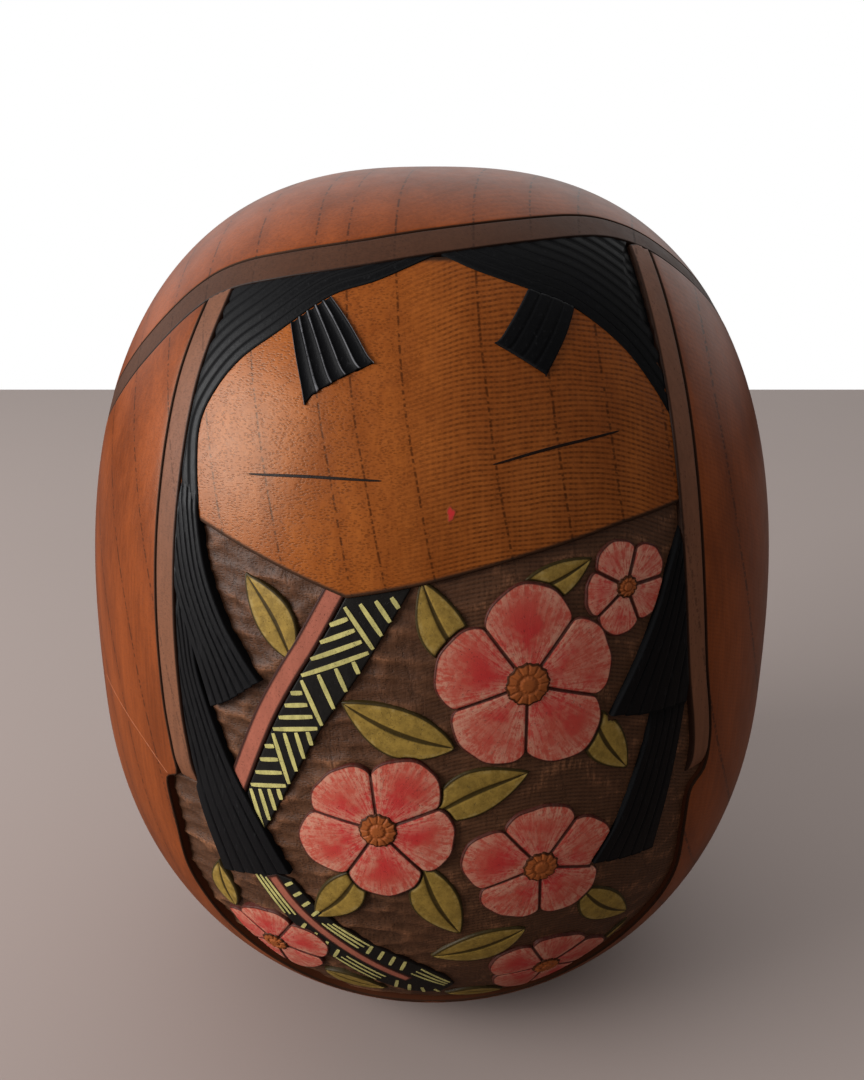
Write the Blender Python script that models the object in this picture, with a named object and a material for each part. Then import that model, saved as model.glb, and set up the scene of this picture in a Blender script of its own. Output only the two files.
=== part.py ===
"""Egg-shaped kokeshi doll of a hooded child.

One turned block of hardwood carries a front recess, the opening of the hood, and a groove round the
head. Each carved and coloured field of the front is a plate of its own that follows the egg and sits
in the recess: the face, the two bangs, the side bands and the kimono. Smaller pieces sit in pockets
of those plates: forelocks, eyes, mouth, side locks, collar stripe, woven bands, blossoms and leaves.

Sizes are in metres. Outlines are drawn in millimetres on a front view, and stretched to the egg's width
and height. +Z is up, the base stands on Z = 0 and the doll looks along -Y. Left and right are the
viewer's.
"""

import math

import bmesh
import bpy
from mathutils import Vector

# The turned egg
WIDTH = 0.09
HEIGHT = 0.1065
WIDEST_HEIGHT = 0.043
CROWN_POWER = 2.57
BELLY_POWER = 2.18
BASE_DIAMETER = 0.044
BASE_EDGE = 0.0008
EGG_SIDES = 48
EGG_ROWS = 22
MERGE = 0.0000001
SMOOTH_ANGLE = 30.0

# Plates, pockets and the gap round each piece
CLEARANCE = 0.0003
PLATE_DEPTH = 0.0032
INLAY_DEPTH = 0.0015
CUTTER_REACH = 0.004
CELL = 0.006
SNAP = 0.00005
CURVE_STEPS = 3
SHARPEST_CORNER = 0.5

# How far each field stands above the turned surface
BAND_HEIGHT = -0.0002
HAIR_HEIGHT = 0.0002
FACE_HEIGHT = 0.0
KIMONO_HEIGHT = -0.0006
INK_HEIGHT = -0.0002
STRIPE_HEIGHT = -0.0001
BLOSSOM_HEIGHT = 0.0003
BOSS_HEIGHT = 0.0005
LEAF_HEIGHT = 0.0

# Widths of the bands and of the drawn lines
BROW_WIDTH = 0.0036
BROW_SEAT = 0.0006
BROW_STEP = 8
SIDE_BAND_WIDTH = 0.0024
STRIPE_WIDTH = 0.0022
EYE_WIDTH = 0.00055
MOUTH_WIDTH = 0.0012
MOUTH_LENGTH = 0.0018
MOUTH_POINTS = 10

# The front view that the outlines below are drawn on, as (x, height) in millimetres
DRAWING_WIDTH = 90.0
DRAWING_HEIGHT = 106.5

# The tie round the head, as (degrees to the right of the front, height)
BROW_ROUTE = [
    (0, 99.3), (20, 100.2), (40, 100.5), (53, 99.6), (63, 97.3), (77, 91.0), (97, 80.0), (122, 67.5),
    (150, 57.5), (180, 53.5), (210, 56.0), (238, 62.5), (266, 71.0), (288, 80.5), (300, 87.3),
    (310, 93.2), (318, 95.6), (330, 97.0), (345, 98.2),
]

# Edge of the hood's opening, from the brow down the left side, along the bottom and up the right side
OPENING_LEFT = [
    (-22.8, 95.3), (-26.5, 85.5), (-28.9, 73.0), (-29.9, 58.0), (-29.9, 42.0), (-29.0, 28.0), (-26.0, 18.0),
]
OPENING_BOTTOM = [(-20.5, 12.8), (-11.0, 9.4), (0.0, 8.4), (11.0, 9.4), (20.5, 12.8)]
OPENING_RIGHT = [
    (26.2, 18.0), (29.2, 28.0), (30.2, 42.0), (29.6, 58.0), (27.7, 72.0), (26.4, 85.0), (24.0, 98.0),
]

# Where the tie crosses the two sides of the opening: degrees, and the height of the hair beside it
CROSSING_LEFT = -40
CROSSING_RIGHT = 48
BANG_LEFT_TOP = 94.0
BANG_RIGHT_TOP = 97.0

# Hair: the free edge of each bang runs from the parting to the temple
PARTING = (0.7, 98.4)
BANG_LEFT_EDGE = [
    (-5.3, 96.0), (-10.0, 94.5), (-15.6, 90.9), (-19.3, 88.3), (-22.0, 85.2), (-23.6, 82.0), (-23.9, 78.0),
    (-23.6, 72.8),
]
BANG_RIGHT_EDGE = [(4.3, 96.9), (9.4, 95.2), (14.0, 93.4), (19.0, 89.7), (22.6, 85.4), (25.6, 80.6)]
FORELOCK_LEFT = [(-14.4, 94.2), (-10.8, 95.4), (-5.5, 88.4), (-8.6, 86.6), (-12.3, 85.2)]
FORELOCK_RIGHT = [(10.4, 96.6), (14.8, 94.9), (11.0, 87.4), (6.0, 90.0)]
LOCK_LEFT_UPPER = [(-23.6, 72.2), (-22.8, 67.6), (-21.2, 63.4), (-19.3, 60.2), (-17.4, 57.2)]
LOCK_LEFT_UPPER_END = [(-20.2, 54.9), (-23.2, 53.8), (-24.9, 59.2), (-26.4, 63.2)]
LOCK_LEFT_LOWER = [(-25.2, 61.4), (-24.5, 56.0), (-21.7, 47.5), (-18.0, 39.8), (-15.4, 34.2)]
LOCK_LEFT_LOWER_END = [(-18.6, 32.6), (-23.6, 32.4), (-25.8, 40.5), (-26.7, 47.5)]
LOCK_RIGHT_UPPER = [(24.9, 71.4), (23.2, 64.2), (21.0, 58.9), (18.4, 53.7)]
LOCK_RIGHT_UPPER_END = [(22.7, 53.1), (27.4, 52.6)]
LOCK_RIGHT_LOWER = [(23.6, 54.0), (22.3, 47.5), (20.1, 40.4), (17.6, 35.5)]
LOCK_RIGHT_LOWER_END = [(21.4, 35.0), (25.0, 34.9), (26.4, 44.4), (27.0, 54.0)]

# Face and collar
FACE_TOP = [
    (24.0, 84.6), (20.2, 90.4), (13.0, 95.2), (0.8, 97.2), (-11.0, 95.5), (-19.0, 90.2), (-24.4, 83.6),
]
COLLAR_LEFT = [(-25.2, 73.2), (-14.1, 69.3), (-8.3, 67.3)]
COLLAR_RIGHT = [(-1.2, 68.8), (9.1, 71.3), (18.4, 73.2), (26.2, 74.2)]
EYE_LEFT = [(-18.2, 78.1), (-11.7, 78.1), (-4.7, 78.5)]
EYE_RIGHT = [(5.7, 79.9), (11.5, 80.7), (18.6, 82.0)]
MOUTH_PLACE = (1.8, 75.6)
STRIPE_ROUTE = [(-9.6, 67.8), (-12.4, 62.6), (-15.1, 58.0), (-17.6, 53.0), (-20.6, 45.4)]
WEAVE_EDGE = [(-1.4, 69.6), (-3.4, 66.1), (-6.9, 60.1), (-11.5, 52.8), (-16.1, 43.6), (-18.8, 38.8)]
SASH = [
    (-20.6, 33.6), (-15.6, 32.4), (-11.0, 28.0), (-3.3, 22.4), (1.2, 18.6), (2.6, 15.6), (0.6, 12.9),
    (-2.6, 13.2), (-9.3, 18.2), (-14.8, 24.6), (-18.4, 29.6),
]

# Blossoms as (x, height, radius, turn in degrees)
BLOSSOMS = [
    (9.5, 58.5, 9.6, 90.0),
    (-5.6, 42.2, 8.6, 60.0),
    (11.6, 36.6, 8.2, 20.0),
    (-18.6, 20.6, 6.8, 100.0),
    (13.6, 17.6, 7.2, 75.0),
    (19.6, 67.0, 4.8, 40.0),
]
PETALS = 5
PETAL_NOTCH = 0.26
PETAL_ROUNDNESS = 0.45
PETAL_POINTS = 6
BOSS_RADIUS = 0.0023
BOSS_POINTS = 12

# Leaves as (x, height, length, width, turn in degrees)
LEAVES = [
    (1.4, 64.8, 10.5, 4.8, 118.0),
    (12.0, 69.0, 8.4, 3.8, 20.0),
    (-3.4, 54.2, 12.4, 5.6, 158.0),
    (18.6, 50.6, 9.4, 4.4, 300.0),
    (4.8, 46.2, 11.6, 5.4, 24.0),
    (1.0, 32.6, 11.6, 5.4, 292.0),
    (-10.4, 32.4, 10.0, 4.8, 236.0),
    (20.0, 27.6, 10.4, 4.8, 310.0),
    (5.2, 25.0, 11.4, 5.2, 200.0),
    (-9.2, 14.6, 8.2, 3.8, 340.0),
    (-24.0, 28.4, 7.6, 3.4, 100.0),
    (-16.4, 64.4, 9.6, 4.4, 120.0),
    (22.8, 18.4, 6.6, 3.2, 70.0),
    (5.2, 11.6, 7.4, 3.4, 172.0),
]
LEAF_POINTS = 6

# Finishes as (red, green, blue, roughness), in linear light
HOOD_WOOD = (0.24, 0.085, 0.03, 0.36)
FACE_WOOD = (0.33, 0.125, 0.035, 0.36)
BAND_STAIN = (0.085, 0.045, 0.03, 0.45)
HAIR_INK = (0.012, 0.012, 0.013, 0.4)
LINE_INK = (0.02, 0.01, 0.008, 0.6)
MOUTH_RED = (0.55, 0.03, 0.04, 0.5)
KIMONO_BROWN = (0.055, 0.025, 0.012, 0.5)
STRIPE_RED = (0.24, 0.065, 0.045, 0.5)
WEAVE_BLACK = (0.02, 0.016, 0.01, 0.5)
PETAL_PINK = (0.42, 0.085, 0.06, 0.45)
BOSS_BROWN = (0.2, 0.055, 0.018, 0.45)
LEAF_OLIVE = (0.16, 0.1, 0.02, 0.45)


def stretched(points):
    """Points of the front drawing in metres, carried to an egg of the set width and height."""
    across = WIDTH / DRAWING_WIDTH
    up = HEIGHT / DRAWING_HEIGHT
    return [(x * across, z * up) for x, z in points]


def egg_half(z):
    """Reach along Z and superellipse power of the half of the egg that holds height z."""
    if z >= WIDEST_HEIGHT:
        return HEIGHT - WIDEST_HEIGHT, CROWN_POWER
    cut = 1 - (BASE_DIAMETER / WIDTH) ** BELLY_POWER
    return WIDEST_HEIGHT / cut ** (1 / BELLY_POWER), BELLY_POWER


def egg_radius(z):
    """Radius of the egg at height z: a superellipse above the widest point and one below it."""
    reach, power = egg_half(z)
    share = min(abs(z - WIDEST_HEIGHT) / reach, 1.0)
    return WIDTH / 2 * (1 - share**power) ** (1 / power)


def egg_normal(point):
    """Direction out of the egg at a point of its surface."""
    reach, power = egg_half(point.z)
    rise = (point.z - WIDEST_HEIGHT) / reach
    around = math.hypot(point.x, point.y)
    outwards = (around / (WIDTH / 2)) ** (power - 1) / (WIDTH / 2)
    upwards = math.copysign(abs(rise) ** (power - 1) / reach, rise)
    return Vector((point.x / around * outwards, point.y / around * outwards, upwards)).normalized()


def front_point(x, z, proud):
    """The egg's point straight behind (x, z) of the front view, moved out of the surface by proud."""
    radius = egg_radius(z)
    point = Vector((x, -math.sqrt(max(radius**2 - x**2, 0.0)), z))
    return point + egg_normal(point) * proud


def catmull_rom(a, b, c, d, share):
    """Value at a share of the way from b to c, on the curve through a, b, c and d."""
    slope = c - a
    square = 2 * a - 5 * b + 4 * c - d
    cube = 3 * b - a - 3 * c + d
    return (2 * b + slope * share + square * share**2 + cube * share**3) / 2


def smooth(points, closed=False):
    """Points on a Catmull-Rom curve through the given points."""
    count = len(points)
    spans = count if closed else count - 1
    curve = []
    for span in range(spans):
        if closed:
            before, start, end, after = (points[(span + k) % count] for k in (-1, 0, 1, 2))
        else:
            start = points[span]
            end = points[span + 1]
            before = points[span - 1] if span else start
            after = points[span + 2] if span + 2 < count else end
        for step in range(CURVE_STEPS):
            places = zip(before, start, end, after)
            curve.append(tuple(catmull_rom(*place, step / CURVE_STEPS) for place in places))
    return curve if closed else curve + [points[-1]]


def outline_area(outline):
    """Signed area of an outline, positive when it runs anticlockwise."""
    following = outline[1:] + outline[:1]
    return sum(x0 * z1 - x1 * z0 for (x0, z0), (x1, z1) in zip(outline, following)) / 2


def grown(outline, distance):
    """The outline with every side moved outwards by distance; sharp corners are held back."""
    if outline_area(outline) < 0:
        outline = outline[::-1]
    result = []
    for index, point in enumerate(outline):
        here = Vector(point)
        back = (here - Vector(outline[index - 1])).normalized()
        onward = (Vector(outline[(index + 1) % len(outline)]) - here).normalized()
        side_back = Vector((back.y, -back.x))
        side_onward = Vector((onward.y, -onward.x))
        middle = (side_back + side_onward).normalized()
        reach = distance / max(middle.dot(side_back), SHARPEST_CORNER)
        result.append(tuple(here + middle * reach))
    return result


def ribbon(route, width):
    """Outline of a strip of even width along a route in the front view."""
    left = []
    right = []
    for index, point in enumerate(route):
        before = Vector(route[max(index - 1, 0)])
        after = Vector(route[min(index + 1, len(route) - 1)])
        along = (after - before).normalized()
        side = Vector((-along.y, along.x)) * width / 2
        left.append(tuple(Vector(point) + side))
        right.append(tuple(Vector(point) - side))
    return left + right[::-1]


def oval(centre, width, height, points):
    """Outline of an ellipse in the front view."""
    x, z = centre
    turns = [math.tau * step / points for step in range(points)]
    return [(x + width / 2 * math.cos(turn), z + height / 2 * math.sin(turn)) for turn in turns]


def opening_side(points, inset):
    """One side of the hood's opening, moved towards the middle by inset."""
    return [(x - math.copysign(inset, x), z) for x, z in smooth(stretched(points))]


def opening_bottom(inset):
    """The lower edge of the hood's opening, moved up and towards the middle by inset."""
    middle = stretched([(0.0, DRAWING_HEIGHT / 2)])[0]
    points = stretched(OPENING_LEFT[-1:] + OPENING_BOTTOM + OPENING_RIGHT[:1])
    curve = smooth(points)[1:-1]
    moved = []
    for point in curve:
        here = Vector(point)
        towards = (Vector(middle) - here).normalized()
        moved.append(tuple(here + towards * inset))
    return moved


def brow_front(first, last):
    """The tie's centre line in the front view, between two azimuths in degrees."""
    step = 1 if last > first else -1
    route = brow_curve()
    picked = []
    for angle in range(first, last + step, BROW_STEP * step):
        nearest = min(route, key=lambda point: abs((point[0] - angle + 180) % 360 - 180))
        radius = egg_radius(nearest[1])
        picked.append((radius * math.sin(math.radians(nearest[0])), nearest[1]))
    return picked


def brow_curve():
    """The closed route of the tie as (degrees, height)."""
    up = HEIGHT / DRAWING_HEIGHT
    last_angle, last_height = BROW_ROUTE[-1]
    ahead = [(angle + 360, height) for angle, height in BROW_ROUTE[:2]]
    padded = [(last_angle - 360, last_height)] + BROW_ROUTE + ahead
    curve = smooth(padded)
    turn = [point for point in curve if 0 <= point[0] < 360]
    return [(angle, height * up) for angle, height in turn]


def finish(name, finish_values):
    """A plain Principled material."""
    red, green, blue, roughness = finish_values
    material = bpy.data.materials.new(name)
    material.use_nodes = True
    shader = material.node_tree.nodes["Principled BSDF"]
    shader.inputs["Base Color"].default_value = (red, green, blue, 1.0)
    shader.inputs["Roughness"].default_value = roughness
    shader.inputs["Metallic"].default_value = 0.0
    material.diffuse_color = (red, green, blue, 1.0)
    return material


def made(name, shape, parent, material=None):
    """An object from a bmesh; with no material it is a cutter."""
    bmesh.ops.recalc_face_normals(shape, faces=shape.faces)
    mesh = bpy.data.meshes.new(name)
    shape.to_mesh(mesh)
    shape.free()
    piece = bpy.data.objects.new(name, mesh)
    bpy.context.scene.collection.objects.link(piece)
    piece.parent = parent
    if material is None:
        piece.hide_render = True
        piece.display_type = "WIRE"
    else:
        mesh.materials.append(material)
        mesh.shade_smooth()
        mesh.set_sharp_from_angle(angle=math.radians(SMOOTH_ANGLE))
    return piece


def plate_shape(outline, top, bottom):
    """A plate that follows the egg between two heights over it, cut to an outline of the front view."""
    shape = bmesh.new()
    shape.faces.new([shape.verts.new((x, 0.0, z)) for x, z in outline])
    for axis in (0, 2):
        normal = Vector((1, 0, 0)) if axis == 0 else Vector((0, 0, 1))
        places = [vert.co[axis] for vert in shape.verts]
        first = math.floor(min(places) / CELL) + 1
        last = math.ceil(max(places) / CELL)
        for index in range(first, last):
            geometry = shape.verts[:] + shape.edges[:] + shape.faces[:]
            place = normal * index * CELL
            bmesh.ops.bisect_plane(shape, geom=geometry, dist=SNAP, plane_co=place, plane_no=normal)
    bmesh.ops.triangulate(shape, faces=[face for face in shape.faces if len(face.verts) > 4])
    low = shape.verts[:]
    lifted = bmesh.ops.extrude_face_region(shape, geom=shape.faces[:], use_keep_orig=True)
    high = [item for item in lifted["geom"] if isinstance(item, bmesh.types.BMVert)]
    for vert in low:
        vert.co = front_point(vert.co.x, vert.co.z, bottom)
    for vert in high:
        vert.co = front_point(vert.co.x, vert.co.z, top)
    return shape


def tie_shape(below, above, top, bottom):
    """A closed strip round the head: a four-cornered section carried along the tie's route.

    below and above are its reach to either side of the route, top and bottom its reach out and in.
    """
    shape = bmesh.new()
    centres = []
    for angle, height in brow_curve():
        turn = math.radians(angle)
        radius = egg_radius(height)
        centres.append(Vector((radius * math.sin(turn), -radius * math.cos(turn), height)))
    sections = []
    for index, centre in enumerate(centres):
        along = (centres[(index + 1) % len(centres)] - centres[index - 1]).normalized()
        out = egg_normal(centre)
        across = out.cross(along).normalized()
        out = along.cross(across).normalized()
        corners = ((above, top), (-below, top), (-below, bottom), (above, bottom))
        sections.append([shape.verts.new(centre + across * side + out * lift) for side, lift in corners])
    for index, section in enumerate(sections):
        before = sections[index - 1]
        for corner in range(4):
            onward = (corner + 1) % 4
            shape.faces.new((before[corner], before[onward], section[onward], section[corner]))
    return shape


class Inlay:
    """A piece seated in a pocket, with the cutter that clears the pocket."""

    def __init__(self, name, piece, cutter, box):
        self.name = name
        self.piece = piece
        self.cutter = cutter
        self.box = box

    def meets(self, other):
        """Whether the two pockets can touch, seen from the front."""
        low_x, high_x, low_z, high_z = self.box
        other_low_x, other_high_x, other_low_z, other_high_z = other.box
        return (
            low_x < other_high_x and other_low_x < high_x and low_z < other_high_z and other_low_z < high_z
        )

    def cut_by(self, other, operation="DIFFERENCE"):
        """Clears this piece where the other one, with its gap, is seated."""
        if self.meets(other):
            cut = self.piece.modifiers.new(other.name, "BOOLEAN")
            cut.operation = operation
            cut.solver = "MANIFOLD"
            cut.object = other.cutter

    def kept_in(self, other):
        """Keeps only what lies within the other one."""
        self.cut_by(other, "INTERSECT")


def plate(name, outline, top, depth, parent, material):
    """A plate in the front of the doll, with its pocket."""
    wide = grown(outline, CLEARANCE)
    piece = made(name, plate_shape(outline, top, -depth), parent, material)
    cutter = made(name + "_pocket", plate_shape(wide, CUTTER_REACH, -depth - CLEARANCE), parent)
    xs = [x for x, _ in wide]
    zs = [z for _, z in wide]
    return Inlay(name, piece, cutter, (min(xs), max(xs), min(zs), max(zs)))


def turned_body(parent):
    """The block as it leaves the lathe: flat base, broken base edge and the two superellipses."""
    profile = [(0.0, 0.0), (BASE_DIAMETER / 2 - BASE_EDGE, 0.0)]
    for row in range(EGG_ROWS + 1):
        rise = -math.cos(math.pi * row / EGG_ROWS)
        reach = HEIGHT - WIDEST_HEIGHT if rise > 0 else WIDEST_HEIGHT - BASE_EDGE
        height = WIDEST_HEIGHT + rise * reach
        profile.append((egg_radius(height), height))
    shape = bmesh.new()
    points = [shape.verts.new((radius, 0.0, height)) for radius, height in profile]
    edges = [shape.edges.new(pair) for pair in zip(points, points[1:])]
    bmesh.ops.spin(
        shape,
        geom=points + edges,
        cent=(0, 0, 0),
        axis=(0, 0, 1),
        angle=math.tau,
        steps=EGG_SIDES,
        use_merge=True,
    )
    bmesh.ops.remove_doubles(shape, verts=shape.verts, dist=MERGE)
    body = made("turned_body", shape, parent, finish("hood_wood", HOOD_WOOD))
    reach = WIDTH + CUTTER_REACH
    return Inlay("turned_body", body, None, (-reach, reach, 0.0, HEIGHT))


def hood_opening(name, gap, depth, parent):
    """The space of the hood's opening, less a gap along its edge, as a cutter."""
    left = opening_side(OPENING_LEFT, gap)
    right = opening_side(OPENING_RIGHT, gap)
    outline = left + opening_bottom(gap) + right + brow_front(CROSSING_RIGHT, CROSSING_LEFT)
    cutter = made(name, plate_shape(outline, CUTTER_REACH, -depth), parent)
    return Inlay(name, None, cutter, (-WIDTH, WIDTH, 0.0, HEIGHT))


def brow_tie(parent, material):
    """The flat tie of the hood, over the brow and round the back of the head.

    Returns the groove that it lies in and the tie, which clears all plates above its lower edge.
    """
    half = BROW_WIDTH / 2
    wide = half + CLEARANCE
    depth = PLATE_DEPTH + BROW_SEAT
    floor = -depth - CLEARANCE
    piece = made("brow_band", tie_shape(half, half, BAND_HEIGHT, -depth), parent, material)
    groove = made("brow_band_groove", tie_shape(wide, wide, CUTTER_REACH, floor), parent)
    above = made("brow_band_above", tie_shape(wide, 2 * BROW_WIDTH, CUTTER_REACH, floor), parent)
    box = (-WIDTH, WIDTH, 0.0, HEIGHT)
    return Inlay("brow_band_groove", None, groove, box), Inlay("brow_band", piece, above, box)


def side_bands(parent, material):
    """The two flat trims inside the edges of the hood's opening."""
    bands = []
    for name, side in (("side_band_left", OPENING_LEFT), ("side_band_right", OPENING_RIGHT[::-1])):
        outer = opening_side(side, CLEARANCE)
        inner = opening_side(side, CLEARANCE + SIDE_BAND_WIDTH)
        bands.append(plate(name, outer + inner[::-1], BAND_HEIGHT, PLATE_DEPTH, parent, material))
    return bands


def under_band(points, low, high):
    """The middle line of a side band between two heights of the drawing, from high to low."""
    up = HEIGHT / DRAWING_HEIGHT
    middle = opening_side(points, CLEARANCE + SIDE_BAND_WIDTH / 2)
    return sorted((point for point in middle if low * up < point[1] < high * up), key=lambda p: -p[1])


def bangs(parent, material):
    """The two sheets of hair between the tie and the face."""
    left_edge = smooth(stretched([PARTING] + BANG_LEFT_EDGE))
    right_edge = smooth(stretched([PARTING] + BANG_RIGHT_EDGE))
    temple = BANG_LEFT_EDGE[-1][1]
    left = left_edge + under_band(OPENING_LEFT, temple, BANG_LEFT_TOP)[::-1]
    left += brow_front(CROSSING_LEFT, 0)
    cheek = BANG_RIGHT_EDGE[-1][1]
    right = right_edge + under_band(OPENING_RIGHT, cheek, BANG_RIGHT_TOP)[::-1]
    right += brow_front(CROSSING_RIGHT, 0)
    return [
        plate("bang_left", left, HAIR_HEIGHT, PLATE_DEPTH, parent, material),
        plate("bang_right", right, HAIR_HEIGHT, PLATE_DEPTH, parent, material),
    ]


def face_panel(parent):
    """The bare face between the hair and the collar."""
    cheek = under_band(OPENING_RIGHT, COLLAR_RIGHT[-1][1], FACE_TOP[0][1])[::-1]
    outline = stretched(COLLAR_LEFT + COLLAR_RIGHT) + cheek + stretched(FACE_TOP)
    return plate("face_panel", outline, FACE_HEIGHT, PLATE_DEPTH, parent, finish("face_wood", FACE_WOOD))


def kimono_panel(parent):
    """The sunk ground of the kimono below the collar, as wide as the hood's opening."""
    left = under_band(OPENING_LEFT, OPENING_LEFT[-1][1], COLLAR_LEFT[0][1])
    right = under_band(OPENING_RIGHT, OPENING_RIGHT[0][1], COLLAR_RIGHT[-1][1])[::-1]
    collar = stretched(COLLAR_RIGHT[::-1] + COLLAR_LEFT[::-1])
    outline = left + opening_bottom(CLEARANCE) + right + collar
    material = finish("kimono_brown", KIMONO_BROWN)
    return plate("kimono_panel", outline, KIMONO_HEIGHT, PLATE_DEPTH, parent, material)


def face_inlays(parent, hair, ink):
    """Forelocks, eyes and mouth, seated in the face."""
    mouth = oval(stretched([MOUTH_PLACE])[0], MOUTH_WIDTH, MOUTH_LENGTH, MOUTH_POINTS)
    eye_left = ribbon(smooth(stretched(EYE_LEFT)), EYE_WIDTH)
    eye_right = ribbon(smooth(stretched(EYE_RIGHT)), EYE_WIDTH)
    red = finish("mouth_red", MOUTH_RED)
    return [
        plate("forelock_left", stretched(FORELOCK_LEFT), HAIR_HEIGHT, INLAY_DEPTH, parent, hair),
        plate("forelock_right", stretched(FORELOCK_RIGHT), HAIR_HEIGHT, INLAY_DEPTH, parent, hair),
        plate("eye_left", eye_left, INK_HEIGHT, INLAY_DEPTH, parent, ink),
        plate("eye_right", eye_right, INK_HEIGHT, INLAY_DEPTH, parent, ink),
        plate("mouth", mouth, INK_HEIGHT, INLAY_DEPTH, parent, red),
    ]


def side_locks(parent, material):
    """Two tiers of straight hair on each side, over the kimono."""
    left_upper = smooth(stretched(LOCK_LEFT_UPPER)) + stretched(LOCK_LEFT_UPPER_END)
    left_upper += under_band(OPENING_LEFT, LOCK_LEFT_UPPER_END[-1][1], LOCK_LEFT_UPPER[0][1])[::-1]
    left_lower = smooth(stretched(LOCK_LEFT_LOWER)) + stretched(LOCK_LEFT_LOWER_END)
    left_lower += under_band(OPENING_LEFT, LOCK_LEFT_LOWER_END[-1][1], LOCK_LEFT_LOWER[0][1])[::-1]
    right_upper = smooth(stretched(LOCK_RIGHT_UPPER)) + stretched(LOCK_RIGHT_UPPER_END)
    right_upper += under_band(OPENING_RIGHT, LOCK_RIGHT_UPPER_END[-1][1], LOCK_RIGHT_UPPER[0][1])[::-1]
    right_lower = smooth(stretched(LOCK_RIGHT_LOWER)) + stretched(LOCK_RIGHT_LOWER_END)
    return [
        plate("lock_left_upper", left_upper, HAIR_HEIGHT, INLAY_DEPTH, parent, material),
        plate("lock_left_lower", left_lower, HAIR_HEIGHT, INLAY_DEPTH, parent, material),
        plate("lock_right_upper", right_upper, HAIR_HEIGHT, INLAY_DEPTH, parent, material),
        plate("lock_right_lower", right_lower, HAIR_HEIGHT, INLAY_DEPTH, parent, material),
    ]


def collar_pieces(parent):
    """The red stripe, the woven band beside it and the woven end of the sash."""
    route = smooth(stretched(STRIPE_ROUTE))
    black = finish("weave_black", WEAVE_BLACK)
    red = finish("stripe_red", STRIPE_RED)
    weave = route[::-1] + smooth(stretched(WEAVE_EDGE))
    return [
        plate("collar_stripe", ribbon(route, STRIPE_WIDTH), STRIPE_HEIGHT, INLAY_DEPTH, parent, red),
        plate("collar_weave", weave, STRIPE_HEIGHT, INLAY_DEPTH, parent, black),
        plate("sash_weave", smooth(stretched(SASH), True), STRIPE_HEIGHT, INLAY_DEPTH, parent, black),
    ]


def blossom_outline(x, z, radius, turn):
    """A rosette: the radius swells to each petal's middle and drops to a notch between petals."""
    outline = []
    steps = PETAL_POINTS * PETALS
    for step in range(steps):
        angle = math.tau * step / steps
        swell = abs(math.cos(PETALS * angle / 2)) ** PETAL_ROUNDNESS
        reach = radius * (1 - PETAL_NOTCH + PETAL_NOTCH * swell)
        angle += math.radians(turn)
        outline.append((x + reach * math.cos(angle), z + reach * math.sin(angle)))
    return outline


def blossoms(parent):
    """Five-petalled blossoms, each with a round boss in its middle."""
    pink = finish("petal_pink", PETAL_PINK)
    brown = finish("boss_brown", BOSS_BROWN)
    flowers = []
    bosses = []
    for number, (x, z, radius, turn) in enumerate(BLOSSOMS, 1):
        place = stretched([(x, z)])[0]
        outline = blossom_outline(*place, radius * WIDTH / DRAWING_WIDTH, turn)
        flowers.append(plate(f"blossom_{number}", outline, BLOSSOM_HEIGHT, INLAY_DEPTH, parent, pink))
        boss = oval(place, 2 * BOSS_RADIUS, 2 * BOSS_RADIUS, BOSS_POINTS)
        bosses.append(plate(f"blossom_boss_{number}", boss, BOSS_HEIGHT, INLAY_DEPTH, parent, brown))
    return bosses, flowers


def leaves(parent):
    """Pointed leaves: two equal arcs from stem to tip."""
    olive = finish("leaf_olive", LEAF_OLIVE)
    pieces = []
    for number, (x, z, length, width, turn) in enumerate(LEAVES, 1):
        here = stretched([(x, z)])[0]
        scale = WIDTH / DRAWING_WIDTH
        along = Vector((math.cos(math.radians(turn)), math.sin(math.radians(turn))))
        across = Vector((-along.y, along.x))
        outline = []
        for side in (1, -1):
            for step in range(LEAF_POINTS):
                share = step / LEAF_POINTS
                place = Vector(here) + along * side * length * scale * (share - 0.5)
                bulge = width / 2 * scale * math.sin(math.pi * share)
                outline.append(tuple(place - across * side * bulge))
        pieces.append(plate(f"leaf_{number:02d}", outline, LEAF_HEIGHT, INLAY_DEPTH, parent, olive))
    return pieces


def seat(layers, hosts):
    """Cuts every piece by the ones listed before it, and the hosts by all of them."""
    for index, piece in enumerate(layers):
        for earlier in layers[:index]:
            piece.cut_by(earlier)
    for host in hosts:
        for piece in layers:
            host.cut_by(piece)


def main():
    for item in list(bpy.data.objects):
        bpy.data.objects.remove(item, do_unlink=True)
    doll = bpy.data.objects.new("kokeshi_doll", None)
    bpy.context.scene.collection.objects.link(doll)
    stain = finish("band_stain", BAND_STAIN)
    hair = finish("hair_ink", HAIR_INK)
    ink = finish("line_ink", LINE_INK)

    body = turned_body(doll)
    recess = hood_opening("hood_recess", 0.0, PLATE_DEPTH + CLEARANCE, doll)
    field = hood_opening("hood_field", CLEARANCE, PLATE_DEPTH, doll)
    groove, tie = brow_tie(doll, stain)
    body.cut_by(recess)
    body.cut_by(groove)

    face = face_panel(doll)
    kimono = kimono_panel(doll)
    plates = [tie] + side_bands(doll, stain) + bangs(doll, hair) + [face, kimono]
    seat(plates, [])

    frame = plates[:5]
    face_pieces = face_inlays(doll, hair, ink)
    bosses, flowers = blossoms(doll)
    kimono_pieces = side_locks(doll, hair) + collar_pieces(doll) + bosses + flowers + leaves(doll)
    seat(face_pieces, [face])
    seat(kimono_pieces, [kimono])
    for piece in face_pieces:
        for edge in frame:
            piece.cut_by(edge)
    for piece in kimono_pieces:
        piece.kept_in(field)
        for edge in frame + [face]:
            piece.cut_by(edge)


main()
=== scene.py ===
"""Carved and painted surface of an egg-shaped kokeshi doll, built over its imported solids.

The drawing below is the front view in millimetres, x to the right and z up. Each field of it is laid on the
turned egg as a closed plate with rounded borders, so the dark lines between fields are real grooves.
"""

import math

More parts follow.
